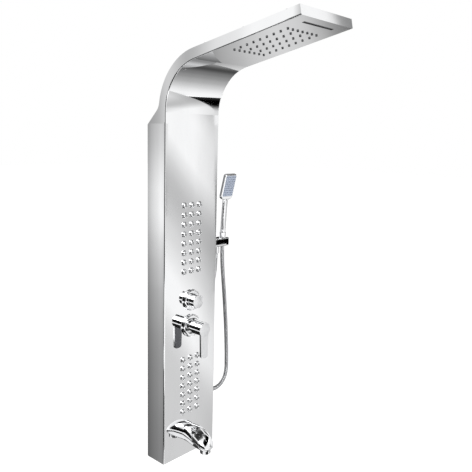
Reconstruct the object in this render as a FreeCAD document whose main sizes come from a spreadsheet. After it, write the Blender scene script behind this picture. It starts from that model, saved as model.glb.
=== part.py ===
"""Shower panel column: a mirror-polished casing with a rain head, waterfall slot, body jets,
six-way diverter, single-lever mixer, spout and a handset on a metal hose.

Millimetres. X runs to the right for a person facing the panel, Y points into the wall, Z is up.
The origin is the middle of the upper wall bracket's two screw holes, on the wall plane. Heights in
the sheet are counted from the casing's lower edge, and level() turns them into Z.
"""
import FreeCAD, Part
import math
import os
import Sketcher
from FreeCAD import Placement, Rotation, Vector

# Driving dimensions: lengths in millimetres, angles in degrees, heights from the casing's lower edge.
DRIVING = {
    # casing
    "panel_width": 220, "panel_depth": 79, "sheet_wall": 1.2, "bend_round": 3,
    "shoulder_height": 1060, "shoulder_slope": 44, "shoulder_round": 40,
    "arch_height": 1094.5, "arch_round": 143, "arch_thickness": 29.5,
    "underside_tilt": 11.8, "roof_tilt": 11.1, "head_length": 362,
    "ledge_width": 10, "weld_gap": 0.2, "return_width": 14, "drain_hole": 4,
    "cover_screw": 1.7, "cover_screw_head": 3.5, "cover_screw_crown": 1.8, "cover_screw_tail": 3,
    "cover_screw_place": 0.12, "screw_socket": 1.2, "screw_socket_depth": 1,
    # hanging on the wall
    "hanging_height": 985, "lower_hanging_height": 115, "bracket_width": 150, "bracket_plate": 36,
    "bracket_wall": 2, "bracket_reach": 12, "hook_depth": 20, "screw_spacing": 110,
    "wall_screw_hole": 2.75, "hanger_reach": 20,
    # rain head
    "rain_start": 90, "rain_length": 212, "rain_width": 152, "rain_height": 13, "plastic_wall": 2,
    "nozzle_columns": 4, "nozzle_rows": 9, "nozzle_column_pitch": 40, "nozzle_row_pitch": 22.3,
    "nozzle_first_row": 106, "nozzle_tip": 3, "nozzle_bore": 0.7, "nozzle_reach": 2.5, "mat_wall": 2,
    "slot_place": 332, "slot_length": 124, "slot_height": 7, "chute_depth": 22, "chute_height": 13,
    "chute_lip": 1.3, "rain_inlet": 30, "stud": 1.9, "stud_length": 7, "stud_offset": 5,
    "stud_place": 0.15, "lug": 6,
    "lug_height": 2.5, "stud_nut": 4, "stud_nut_height": 3,
    # body jets
    "jet_column_pitch": 31, "jet_row_pitch": 29.4, "jet_columns": 3, "upper_jet_rows": 8,
    "lower_jet_rows": 7, "upper_jets_height": 717, "lower_jets_height": 240, "jet_dome": 10,
    "jet_dome_height": 6.5, "jet_stem": 6, "jet_stem_length": 11, "jet_bore": 3.6,
    "jet_insert_reach": 0.6, "jet_rim_share": 0.2, "jet_mouth_share": 1.3, "jet_round_share": 0.72,
    "jet_tip_share": 0.6,
    "manifold_width": 96, "manifold_depth": 17, "manifold_margin": 14, "upper_inlet": 34,
    "lower_inlet_height": 320,
    # diverter
    "diverter_height": 520, "diverter_escutcheon": 34, "escutcheon_height": 9, "diverter_valve": 21,
    "diverter_valve_depth": 46, "diverter_neck": 16, "diverter_cartridge": 13, "spindle": 4.5,
    "knob": 22, "knob_face": 36, "knob_crown": 2.5, "collar": 24, "collar_height": 4, "valve_ports": 7,
    "port_block": 9, "port_reach": 36, "port_depth": 22, "diverter_neck_height": 4, "nut_grip": 9,
    "spindle_socket": 9, "set_screw": 1.5, "set_screw_share": 0.55, "set_socket_share": 0.6,
    "block_share": 0.8,
    "knob_edge": 2, "escutcheon_wall": 1.5, "escutcheon_rim": 3, "port_run": 16,
    # mixer
    "mixer_height": 436, "mixer_escutcheon": 37, "mixer_valve": 28, "mixer_valve_depth": 50,
    "mixer_neck": 23.5, "mixer_neck_height": 6, "cartridge": 19, "cartridge_depth": 34, "dome": 27,
    "dome_wall": 1.5, "inlet_spacing": 96, "inlet_thread": 10.48,
    "inlet_thread_length": 14, "stem": 5, "yoke": 11.5, "hub": 22, "hub_start": 19.3, "hub_bevel": 1.5,
    "lever_face": 66, "lever_plate": 8, "lever_reach": 92, "lever_width": 34, "lever_tip_width": 29,
    "lever_crown": 1.5, "lever_corner": 10, "lever_pin": 1.6, "handle_screw": 2, "ear_wall": 3,
    "ear_width": 8,
    "yoke_depth": 15, "yoke_base": 6, "flange_nut_height": 5, "dome_opening": 15, "inlet_arm": 12,
    "inlet_collar": 1,
    "inlet_bore": 7, "outlet_boss": 7,
    # spout
    "spout_height": 72, "spout_base": 30, "spout_reach": 96, "spout_half_width": 35, "spout_bore": 7,
    "aerator": 17, "aerator_reach": 75, "aerator_length": 14, "aerator_seat": 43, "aerator_throat": 12.75,
    "aerator_inlet": 11.05, "aerator_shelf": 3.5, "aerator_round": 1.2, "screen_hole": 1,
    "spout_shank": 10.48, "shank_length": 34, "spout_nut_height": 8, "small_nut_grip": 5,
    "elbow_reach": 24, "elbow_bore": 5, "elbow_wall": 3,
    # handset holder and outlet
    "holder_height": 684.5, "holder_depth": 50, "holder_length": 74, "holder_tall": 28,
    "holder_deep": 32, "holder_edge": 4, "holder_end_round": 2, "cradle_reach": 58, "outlet_reach": 27,
    "outlet_thread": 10.48,
    "outlet_length": 8, "outlet_bore": 5, "holder_shank": 10.48, "shank_inside": 20,
    "holder_nut_height": 8, "slot_width": 16.4, "cone_top": 12, "cone_foot": 8.6, "cone_stand": 16,
    "seal_thickness": 2,
    # handset
    "handset_neck": 9.5, "spigot": 9.3, "spigot_length": 12, "grip_tilt": 4.5, "grip_length": 112,
    "grip_width": 21, "grip_thickness": 15, "grip_bore": 3, "head_tilt": 14.5, "spray_length": 87,
    "spray_width": 54, "spray_thickness": 13, "spray_corner": 6, "spray_shoulder": 12,
    "spray_round": 3.5, "face_inset": 4, "face_foot": 12, "face_corner": 4.5, "face_wall": 2,
    "spray_mat": 1, "spray_cavity": 3, "ledge": 3,
    "spray_columns": 6, "spray_rows": 9, "spray_column_pitch": 7.4, "spray_row_pitch": 7.4,
    "spray_tip": 1.1, "spray_tip_reach": 0.8, "grip_top_width": 0.6, "grip_top_thickness": 0.46,
    "shoulder_round_share": 1.3,
    # hoses
    "hose": 7, "hose_rib": 0.9, "hose_bore": 4.5, "hose_ribs": 180, "hose_nut": 11.5,
    "hose_nut_length": 20, "hose_nut_gap": 2.5, "inner_hose": 6, "inner_hose_bore": 4,
    "barb_length": 10, "stub_length": 5, "port_bore": 2.8, "clip_width": 7, "clip_wall": 1.2,
    "inner_bend": 16, "hose_lift": 14.75, "hose_behind": 46, "hose_side": 100, "hose_down": 78,
    "lower_hose_down": 92, "inlet_lift": 8, "hose_turn_room": 28, "arch_lead": 90, "spout_hose_rise": 60,
    "handset_hose_rise": 70, "hose_drop": 58, "hose_rise": 48, "end_collar": 2,
    # fits
    "running_gap": 0.08, "fit_gap": 0.1, "clear_gap": 0.3,
}

document = FreeCAD.newDocument("shower_panel_column")


class Size:
    """A number together with the sheet formula that it stands for."""

    def __init__(self, number, text):
        self.number = float(number)
        self.text = text

    def __float__(self):
        return self.number

    def __add__(self, other):
        return Size(self.number + float(other), f"({self.text} + {text_of(other)})")

    def __radd__(self, other):
        return Size(float(other) + self.number, f"({text_of(other)} + {self.text})")

    def __sub__(self, other):
        return Size(self.number - float(other), f"({self.text} - {text_of(other)})")

    def __rsub__(self, other):
        return Size(float(other) - self.number, f"({text_of(other)} - {self.text})")

    def __mul__(self, other):
        return Size(self.number * float(other), f"({self.text} * {text_of(other)})")

    def __rmul__(self, other):
        return Size(float(other) * self.number, f"({text_of(other)} * {self.text})")

    def __truediv__(self, other):
        return Size(self.number / float(other), f"({self.text} / {text_of(other)})")

    def __rtruediv__(self, other):
        return Size(float(other) / self.number, f"({text_of(other)} / {self.text})")

    def __neg__(self):
        return Size(-self.number, f"(0 - {self.text})")


def text_of(value):
    """The sheet formula of a size, or the digits of a plain number."""
    return value.text if isinstance(value, Size) else repr(float(value))


def sine(angle):
    return Size(math.sin(math.radians(float(angle))), f"sin({text_of(angle)})")


def cosine(angle):
    return Size(math.cos(math.radians(float(angle))), f"cos({text_of(angle)})")


def root(value):
    return Size(math.sqrt(float(value)), f"sqrt({text_of(value)})")


class Sizes:
    """Writes named values into a spreadsheet and reads them back as sizes."""

    def __init__(self, sheet_name):
        self.sheet = document.addObject("Spreadsheet::Sheet", sheet_name)
        self.row = 0

    def add(self, name, number, cell_text):
        self.row += 1
        self.sheet.set(f"A{self.row}", name)
        self.sheet.set(f"B{self.row}", cell_text)
        self.sheet.setAlias(f"B{self.row}", name)
        size = Size(number, f"{self.sheet.Name}.{name}")
        setattr(self, name, size)
        return size


s = Sizes("Sheet")
for driving_name, driving_value in DRIVING.items():
    s.add(driving_name, driving_value, str(driving_value))
document.recompute()
worked = Sizes("Worked")


def keep(name, size):
    """Store a worked-out size in the second sheet, so that later formulas stay short."""
    return worked.add(name, size.number, "=" + size.text.replace("Worked.", ""))


# ---------------------------------------------------------------- drawing helpers

def bind(item, values):
    """Tie properties of an object to sizes."""
    for path, value in values.items():
        item.setExpression(path, text_of(value))


class Disc:
    """A circle for a sketch."""

    def __init__(self, across, up, radius):
        self.across = across
        self.up = up
        self.radius = radius


def pin_point(sketch, side, end, across, up):
    """Hold one point of a sketch at two distances from its origin."""
    for kind, value in (("DistanceX", across), ("DistanceY", up)):
        index = sketch.addConstraint(Sketcher.Constraint(kind, side, end, float(value)))
        sketch.setExpression(f"Constraints[{index}]", text_of(value))


def pin_radius(sketch, side, radius):
    index = sketch.addConstraint(Sketcher.Constraint("Radius", side, abs(float(radius))))
    sketch.setExpression(f"Constraints[{index}]", text_of(radius))


def arc_between(start, end, radius):
    """The arc from start to end, turning left where the radius is positive, and right otherwise."""
    chord = end - start
    middle = start + chord * 0.5
    height = math.sqrt(max(radius * radius - chord.Length ** 2 / 4, 0))
    left = Vector(-chord.y, chord.x, 0).normalize()
    centre = middle + left * (height if radius > 0 else -height)
    first, last = (start, end) if radius > 0 else (end, start)
    angles = [math.atan2(point.y - centre.y, point.x - centre.x) for point in (first, last)]
    if angles[1] < angles[0]:
        angles[1] += 2 * math.pi
    return Part.ArcOfCircle(Part.Circle(centre, Vector(0, 0, 1), abs(radius)), angles[0], angles[1])


def draw_loop(sketch, corners):
    """A closed outline. A corner is (across, up), or (across, up, radius) where the side that
    arrives at it is an arc."""
    count = len(corners)
    ends = []
    sides = []
    for index in range(count):
        corner = corners[index]
        following = corners[(index + 1) % count]
        start = Vector(float(corner[0]), float(corner[1]), 0)
        end = Vector(float(following[0]), float(following[1]), 0)
        if len(following) == 2:
            sides.append(sketch.addGeometry(Part.LineSegment(start, end)))
            ends.append((1, 2))
        else:
            radius = float(following[2])
            sides.append(sketch.addGeometry(arc_between(start, end, radius)))
            ends.append((1, 2) if radius > 0 else (2, 1))
    for index in range(count):
        after = (index + 1) % count
        sketch.addConstraint(Sketcher.Constraint("Coincident", sides[index], ends[index][1],
                                                 sides[after], ends[after][0]))
    for index in range(count):
        pin_point(sketch, sides[index], ends[index][0], corners[index][0], corners[index][1])
        following = corners[(index + 1) % count]
        if len(following) == 3:
            radius = following[2]
            pin_radius(sketch, sides[index], radius if float(radius) > 0 else -radius)


def draw(sketch, outlines):
    for outline in outlines:
        if isinstance(outline, Disc):
            centre = Vector(float(outline.across), float(outline.up), 0)
            circle = Part.Circle(centre, Vector(0, 0, 1), float(outline.radius))
            side = sketch.addGeometry(circle)
            pin_point(sketch, side, 3, outline.across, outline.up)
            pin_radius(sketch, side, outline.radius)
        else:
            draw_loop(sketch, outline)


def origin_feature(body, role):
    return next(item for item in body.Origin.OriginFeatures if item.Role == role)


def new_sketch(body, plane, start, outlines):
    """A sketch on one of the body's own planes, moved along that plane's normal by start. The
    normals are +Z for XY, -Y for XZ and +X for YZ."""
    sketch = body.newObject("Sketcher::SketchObject", body.Name + "_outline")
    sketch.AttachmentSupport = [(origin_feature(body, plane + "_Plane"), "")]
    sketch.MapMode = "FlatFace"
    bind(sketch, {"AttachmentOffset.Base.z": start})
    draw(sketch, outlines)
    return sketch


def pad(body, plane, start, length, outlines):
    """Material along the plane's normal, from start."""
    feature = body.newObject("PartDesign::Pad", body.Name + "_pad")
    feature.Profile = new_sketch(body, plane, start, outlines)
    bind(feature, {"Length": length})
    body.Tip = feature
    return feature


def cut(body, plane, start, length, outlines):
    """A pocket along the plane's normal, from start."""
    feature = body.newObject("PartDesign::Pocket", body.Name + "_pocket")
    feature.Profile = new_sketch(body, plane, start, outlines)
    feature.Reversed = True
    bind(feature, {"Length": length})
    body.Tip = feature
    return feature


def revolve(body, outline, kind="Revolution"):
    """Turn an outline of (radius, height) corners about the body's own Z axis."""
    feature = body.newObject("PartDesign::" + kind, body.Name + "_turned")
    sketch = new_sketch(body, "XZ", 0, [outline])
    feature.Profile = sketch
    feature.ReferenceAxis = (sketch, ["V_Axis"])
    feature.Angle = 360
    body.Tip = feature
    return feature


def grid(body, features, across, across_count, up, up_count):
    """Repeat features along the body's X and Y axes."""
    pattern = body.newObject("PartDesign::LinearPattern", body.Name + "_grid")
    pattern.Originals = features
    pattern.Direction = (origin_feature(body, "X_Axis"), [""])
    pattern.Mode = "Extent"
    bind(pattern, {"Length": across * (across_count - 1), "Occurrences": across_count})
    pattern.Direction2 = (origin_feature(body, "Y_Axis"), [""])
    pattern.Mode2 = "Extent"
    bind(pattern, {"Length2": up * (up_count - 1), "Occurrences2": up_count})
    body.Tip = pattern
    return pattern


def around(body, features, count):
    """Repeat features in a full circle about the body's Z axis."""
    pattern = body.newObject("PartDesign::PolarPattern", body.Name + "_circle")
    pattern.Originals = features
    pattern.Axis = (origin_feature(body, "Z_Axis"), [""])
    pattern.Angle = 360
    bind(pattern, {"Occurrences": count})
    body.Tip = pattern
    return pattern


def round_edges(body, wanted, radius):
    """Fillet the edges of the body that wanted() picks."""
    document.recompute()
    base = body.Tip
    names = [f"Edge{index + 1}" for index, edge in enumerate(base.Shape.Edges) if wanted(edge)]
    feature = body.newObject("PartDesign::Fillet", body.Name + "_round")
    feature.Base = (base, names)
    bind(feature, {"Radius": radius})
    body.Tip = feature
    return feature


FACING = {
    "up": Rotation(),
    "out": Rotation(Vector(1, 0, 0), 90),
    "down": Rotation(Vector(1, 0, 0), 180),
    "right": Rotation(Vector(0, 1, 0), 90),
    "left": Rotation(Vector(0, 1, 0), -90),
}
pieces = []


def new_body(name, x=0, y=0, z=0, rotation=FACING["up"]):
    """A sub-part. Its own Z axis points the way that rotation gives."""
    body = document.addObject("PartDesign::Body", name)
    body.Label = name
    body.AllowCompound = True
    body.Placement = Placement(Vector(), rotation)
    bind(body, {"Placement.Base.x": x, "Placement.Base.y": y, "Placement.Base.z": z})
    pieces.append(body)
    return body


def turned(name, x, y, z, facing, outline):
    """A sub-part turned from one outline of (radius, height) corners."""
    body = new_body(name, x, y, z, FACING[facing])
    revolve(body, outline)
    return body


def tube_outline(inner, outer, low, high):
    return [(inner, low), (outer, low), (outer, high), (inner, high)]


def rectangle(left, right, low, high):
    return [(left, low), (right, low), (right, high), (left, high)]


def rounded(left, right, low, high, corner):
    return [(left + corner, low, corner), (right - corner, low), (right, low + corner, corner),
            (right, high - corner), (right - corner, high, corner), (left + corner, high),
            (left, high - corner, corner), (left, low + corner)]


def hexagon(radius):
    """A hexagon of six equal corners about the middle."""
    return [(radius * cosine(60.0 * step), radius * sine(60.0 * step)) for step in range(6)]


def add_shape(name, shape):
    """A sub-part whose shape is made here from sizes read from the sheet."""
    item = document.addObject("Part::Feature", name)
    item.Label = name
    item.Shape = shape
    pieces.append(item)
    return item


def stand_for(blank, result):
    """The result takes the blank's place and name among the sub-parts."""
    name = blank.Label
    blank.Label = name + "_blank"
    result.Label = name
    pieces[pieces.index(blank)] = result
    return result


def drilled(blank, drill):
    """A sub-part with the holes of a drill taken out."""
    result = document.addObject("Part::Cut", blank.Name + "_drilled")
    result.Base = blank
    result.Tool = drill
    return stand_for(blank, result)


def level(height):
    """The Z of a height above the casing's lower edge."""
    return height - s.hanging_height


# ---------------------------------------------------------------- side view of the casing

front = keep("front", -s.panel_depth)
inside_front = keep("inside_front", s.sheet_wall - s.panel_depth)
floor = keep("floor", level(0))
half_width = keep("half_width", s.panel_width / 2)
half_room = keep("half_room", s.panel_width / 2 - s.sheet_wall)
arch_y = keep("arch_y", -(s.panel_depth + s.arch_round))
arch_z = keep("arch_z", level(s.arch_height))
roof_round = keep("roof_round", s.arch_round + s.arch_thickness)
tilt_sine = keep("tilt_sine", sine(s.underside_tilt))
tilt_cosine = keep("tilt_cosine", cosine(s.underside_tilt))
roof_sine = keep("roof_sine", sine(s.roof_tilt))
roof_cosine = keep("roof_cosine", cosine(s.roof_tilt))
taper = s.underside_tilt - s.roof_tilt
taper_sine = keep("taper_sine", sine(taper))
taper_cosine = keep("taper_cosine", cosine(taper))
slope_sine = keep("slope_sine", sine(s.shoulder_slope))
slope_cosine = keep("slope_cosine", cosine(s.shoulder_slope))

# Middle of the shoulder's hollow round: it touches the slope and the roof's arc from outside.
away_y = keep("away_y", s.shoulder_round * slope_sine - arch_y)
away_z = keep("away_z", level(s.shoulder_height) + s.shoulder_round * slope_cosine - arch_z)
both_rounds = keep("both_rounds", roof_round + s.shoulder_round)
along_slope = keep("along_slope", away_z * slope_sine - away_y * slope_cosine)
square_rest = (along_slope * along_slope - away_y * away_y - away_z * away_z
               + both_rounds * both_rounds)
slope_run = keep("slope_run", -along_slope - root(square_rest))
hollow_y = keep("hollow_y", arch_y + away_y - slope_run * slope_cosine)
hollow_z = keep("hollow_z", arch_z + away_z + slope_run * slope_sine)


def underside(inset, length):
    """A point of the head's underside, inset into the sheet, at a length along the head."""
    reach = s.arch_round + inset
    return (arch_y + reach * tilt_sine - length * tilt_cosine,
            arch_z + reach * tilt_cosine + length * tilt_sine)


def roof_point(inset, run):
    """A point of the head's roof, inset into the sheet, at a run from the arch's end."""
    reach = roof_round - inset
    return (arch_y + reach * roof_sine - run * roof_cosine,
            arch_z + reach * roof_cosine + run * roof_sine)


def roof_path(name, inset, length):
    """The roof from the head's tip back to the wall, as corners and arcs."""
    reach = roof_round - inset
    run = keep(name + "_run", (length - reach * taper_sine) / taper_cosine)
    touch = keep(name + "_touch", reach / both_rounds)
    hollow = s.shoulder_round + inset
    return [roof_point(inset, run),
            roof_point(inset, 0),
            (arch_y + (hollow_y - arch_y) * touch, arch_z + (hollow_z - arch_z) * touch, -reach),
            (hollow_y - hollow * slope_sine, hollow_z - hollow * slope_cosine, hollow),
            (0, level(s.shoulder_height) - inset / slope_cosine)]


def front_path(inset, length, start):
    """The front from the lower edge up the column and out along the head's underside."""
    arch_end = underside(inset, 0)
    return [(front + inset, start), (front + inset, arch_z),
            (arch_end[0], arch_end[1], s.arch_round + inset), underside(inset, length)]


def band(name, outer_inset, inner_inset, length):
    """A strip under the roof, between two insets."""
    outer_side = roof_path(name + "_outer", outer_inset, length)
    inner_side = roof_path(name + "_inner", inner_inset, length)
    corners = list(outer_side)
    corners.append(inner_side[4])
    corners.append(inner_side[3][:2])
    corners.append(inner_side[2][:2] + (-(s.shoulder_round + inner_inset),))
    corners.append(inner_side[1][:2] + (roof_round - inner_inset,))
    corners.append(inner_side[0])
    return corners


# The head's frame: its Z is square to the underside, its -Y runs to the tip.
head_y, head_z = underside(0, 0)
head_y = keep("head_y", head_y)
head_z = keep("head_z", head_z)
HEAD_TURN = Rotation(Vector(1, 0, 0), -float(s.underside_tilt))
ROOF_TURN = Rotation(Vector(1, 0, 0), -float(s.roof_tilt))


def head_body(name):
    return new_body(name, 0, head_y, head_z, HEAD_TURN)


def nozzle_places():
    """The rain nozzles: a grid, with the first and last rows filled up between the columns."""
    places = []
    columns = int(float(s.nozzle_columns))
    rows = int(float(s.nozzle_rows))
    for row in range(rows):
        along = s.nozzle_first_row + row * s.nozzle_row_pitch
        for column in range(columns):
            places.append(((column - (columns - 1) / 2) * s.nozzle_column_pitch, -along))
        if row in (0, rows - 1):
            for column in range(columns - 1):
                places.append(((column - (columns - 2) / 2) * s.nozzle_column_pitch, -along))
    return places


def jet_places(height, rows):
    """The jets of one group, as X and Z."""
    count = int(float(rows))
    columns = int(float(s.jet_columns))
    places = []
    for row in range(count):
        for column in range(columns):
            places.append(((column - (columns - 1) / 2) * s.jet_column_pitch,
                           level(height) + (row - (count - 1) / 2) * s.jet_row_pitch))
    return places


def stud_places():
    """The four welded studs that hold the rain chamber, in the head's frame."""
    across = s.rain_width / 2 + s.stud_offset
    return [(side * across, -(s.rain_start + s.rain_length * share))
            for side in (-1, 1) for share in (s.stud_place, 1 - s.stud_place)]


# ---------------------------------------------------------------- casing

def make_panel_shell():
    """The folded and polished sheet: front, side walls, arch, underside and the head's end."""
    shell = new_body("panel_shell")
    outer = front_path(0, s.head_length, floor) + roof_path("shell", 0, s.head_length)
    outer.append((0, floor))
    pad(shell, "YZ", -half_width, s.panel_width, [outer])

    def is_front_bend(edge):
        middle = edge.valueAt((edge.FirstParameter + edge.LastParameter) / 2)
        if abs(abs(middle.x) - float(half_width)) > 0.01:
            return False
        from_arch = math.hypot(middle.y - float(arch_y), middle.z - float(arch_z))
        on_front = abs(middle.y - float(front)) < 0.01
        on_arch = abs(from_arch - float(s.arch_round)) < 0.01
        from_end = middle - Vector(0, float(head_y), float(head_z))
        drop = from_end.y * float(tilt_sine) + from_end.z * float(tilt_cosine)
        return on_front or on_arch or (abs(drop) < 0.01 and middle.y < float(head_y))

    round_edges(shell, is_front_bend, s.bend_round)
    inner_length = s.head_length - s.sheet_wall
    inner = front_path(s.sheet_wall, inner_length, floor - 1)
    end_y, end_z = inner[3]
    inner += [(end_y + s.head_length * tilt_sine, end_z + s.head_length * tilt_cosine),
              (1, head_z + s.head_length), (1, floor - 1)]
    cut(shell, "YZ", -half_room, half_room * 2, [inner])
    ledge = band("ledge", s.sheet_wall, s.sheet_wall * 2, inner_length)
    pad(shell, "YZ", -half_room, half_room * 2, [ledge])
    middle_ledge = band("middle_ledge", s.sheet_wall * 0.9, s.sheet_wall * 2.1, inner_length - 0.01)
    cut(shell, "YZ", s.ledge_width - half_room, (half_room - s.ledge_width) * 2, [middle_ledge])
    for left, right in ((-half_room, s.return_width - half_room), (half_room - s.return_width, half_room)):
        pad(shell, "XY", floor, s.shoulder_height - 2 * s.sheet_wall,
            [rectangle(left, right, -s.sheet_wall, 0)])
    jets = jet_places(s.upper_jets_height, s.upper_jet_rows)
    jets += jet_places(s.lower_jets_height, s.lower_jet_rows)
    holes = [Disc(across, up, s.jet_stem + s.clear_gap) for across, up in jets]
    holes.append(Disc(0, level(s.diverter_height), s.diverter_neck + s.clear_gap))
    holes.append(Disc(0, level(s.mixer_height), s.mixer_neck + s.clear_gap))
    holes.append(Disc(0, level(s.spout_height), s.spout_shank + s.clear_gap))
    cut(shell, "XZ", -inside_front - 1, s.sheet_wall + 2, holes)
    cut(shell, "YZ", half_room - 1, s.sheet_wall + 2,
        [Disc(-s.holder_depth, level(s.holder_height), s.holder_shank + s.clear_gap)])
    return shell


def pierce_head(shell):
    """The nozzle holes, the waterfall slot and the studs are square to the tilted underside, so
    they are made in the head's frame and joined with the folded sheet."""
    head = document.addObject("PartDesign::Body", "head_openings")
    head.Placement = Placement(Vector(), HEAD_TURN)
    bind(head, {"Placement.Base.y": head_y, "Placement.Base.z": head_z})
    head.AllowCompound = True
    holes = [Disc(across, along, s.nozzle_tip + s.clear_gap) for across, along in nozzle_places()]
    slot = rectangle(-(s.slot_length / 2 + s.fit_gap), s.slot_length / 2 + s.fit_gap,
                     -(s.slot_place + s.slot_height / 2 + s.fit_gap),
                     -(s.slot_place - s.slot_height / 2 - s.fit_gap))
    pad(head, "XY", -1, s.sheet_wall + 2, holes + [slot])
    studs = document.addObject("PartDesign::Body", "head_studs")
    studs.Placement = Placement(Vector(), HEAD_TURN)
    bind(studs, {"Placement.Base.y": head_y, "Placement.Base.z": head_z})
    studs.AllowCompound = True
    pad(studs, "XY", s.sheet_wall / 2, s.stud_length, [Disc(x, y, s.stud) for x, y in stud_places()])
    pierced = document.addObject("Part::Cut", "pierced_sheet")
    pierced.Base = shell
    pierced.Tool = head
    whole = document.addObject("Part::Fuse", "panel_shell_whole")
    whole.Base = pierced
    whole.Tool = studs
    return stand_for(shell, whole)


def make_back_cover():
    """The sheet that closes the arch and the head from above, and its screws."""
    length = s.head_length - s.sheet_wall - s.weld_gap
    cover = new_body("back_cover")
    pad(cover, "YZ", s.weld_gap - half_room, (half_room - s.weld_gap) * 2,
        [band("cover", 0, s.sheet_wall, length)])
    screw_x = half_room - s.ledge_width / 2
    runs = [s.head_length * share
            for share in (s.cover_screw_place, 0.5, 1 - s.cover_screw_place)]
    places = [(side * screw_x, -run) for side in (-1, 1) for run in runs]
    roof_y, roof_z = roof_point(0, 0)
    roof_y = keep("roof_y", roof_y)
    roof_z = keep("roof_z", roof_z)
    drill = document.addObject("PartDesign::Body", "cover_drill")
    drill.Placement = Placement(Vector(), ROOF_TURN)
    bind(drill, {"Placement.Base.y": roof_y, "Placement.Base.z": roof_z})
    drill.AllowCompound = True
    pad(drill, "XY", -s.sheet_wall * 2 - 1, s.sheet_wall * 2 + 2,
        [Disc(x, y, s.cover_screw + s.fit_gap) for x, y in places])
    screws = new_body("cover_screws", 0, roof_y, roof_z, ROOF_TURN)
    crown = s.cover_screw_crown
    foot = s.sheet_wall * 2 + s.cover_screw_tail
    pad(screws, "XY", 0, crown, [Disc(x, y, s.cover_screw_head) for x, y in places])
    pad(screws, "XY", -foot, foot + crown / 2, [Disc(x, y, s.cover_screw) for x, y in places])
    cut(screws, "XY", crown - s.screw_socket_depth, s.screw_socket_depth + 1,
        [hex_at(x, y, s.screw_socket) for x, y in places])
    return cover, drill


def hex_at(x, y, radius):
    return [(x + across, y + up) for across, up in hexagon(radius)]


def make_bottom_cover():
    """The plate that closes the casing below, with its flange against the wall."""
    plate = new_body("bottom_cover")
    pad(plate, "YZ", s.weld_gap - half_room, (half_room - s.weld_gap) * 2,
        [[(inside_front + s.weld_gap, floor), (-s.sheet_wall - s.weld_gap, floor),
          (-s.sheet_wall - s.weld_gap, floor + s.return_width),
          (-s.sheet_wall * 2 - s.weld_gap, floor + s.return_width),
          (-s.sheet_wall * 2 - s.weld_gap, floor + s.sheet_wall),
          (inside_front + s.sheet_wall + s.weld_gap, floor + s.sheet_wall),
          (inside_front + s.sheet_wall + s.weld_gap, floor + s.return_width),
          (inside_front + s.weld_gap, floor + s.return_width)]])
    cut(plate, "XY", floor - 1, s.sheet_wall + 2, [Disc(0, front / 2, s.drain_hole)])
    return plate


def make_hanging(name, height):
    """One wall bracket with its upturned hook, and the bar of the casing that hangs on it."""
    wall = s.bracket_wall
    middle = level(height)
    low = middle - s.bracket_plate / 2
    bracket = new_body(name + "_wall_bracket")
    pad(bracket, "YZ", -s.bracket_width / 2, s.bracket_width,
        [[(0, low), (0, middle + s.bracket_plate / 2), (-wall, middle + s.bracket_plate / 2),
          (-wall, low + wall), (wall - s.bracket_reach, low + wall),
          (wall - s.bracket_reach, low + s.hook_depth), (-s.bracket_reach, low + s.hook_depth),
          (-s.bracket_reach, low)]])
    cut(bracket, "XZ", -1, wall + 2,
        [Disc(side * s.screw_spacing / 2, middle, s.wall_screw_hole) for side in (-1, 1)])
    top = low + s.hook_depth
    back = -(s.bracket_reach - wall) / 2
    seat = low + wall + s.clear_gap * 4
    bar = new_body(name + "_hanger_bar")
    pad(bar, "YZ", -half_room, half_room * 2,
        [[(-s.hanger_reach, low), (wall - s.hanger_reach, low), (wall - s.hanger_reach, top),
          (back - wall, top), (back - wall, seat), (back, seat), (back, top + wall),
          (-s.hanger_reach, top + wall)]])
    return bracket, bar


def make_casing():
    shell = pierce_head(make_panel_shell())
    cover, drill = make_back_cover()
    drilled(cover, drill)
    drilled(shell, drill)
    make_bottom_cover()
    make_hanging("upper", s.hanging_height)
    make_hanging("lower", s.lower_hanging_height)


# ---------------------------------------------------------------- hollow pieces and their inlets

def valve_body(name, height):
    """A sub-part on the panel's front, whose own Z points out of the panel."""
    return new_body(name, 0, front, level(height), FACING["out"])


def hose_inlet(body, plane, face, outward, across, up):
    """A stub with a hose barb. The face is its distance along the plane's normal, and outward is
    1 or -1 along that normal."""
    def stretch(near, far):
        start = face + near if outward > 0 else face - far
        return start, far - near

    barb_end = s.stub_length + s.barb_length
    start, length = stretch(-s.plastic_wall / 2, s.stub_length)
    pad(body, plane, start, length, [Disc(across, up, s.inner_hose)])
    start, length = stretch(-s.plastic_wall / 2, barb_end)
    pad(body, plane, start, length, [Disc(across, up, s.inner_hose_bore - s.fit_gap)])
    start, length = stretch(-s.plastic_wall - 1, barb_end + 1)
    cut(body, plane, start, length, [Disc(across, up, s.port_bore)])


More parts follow.
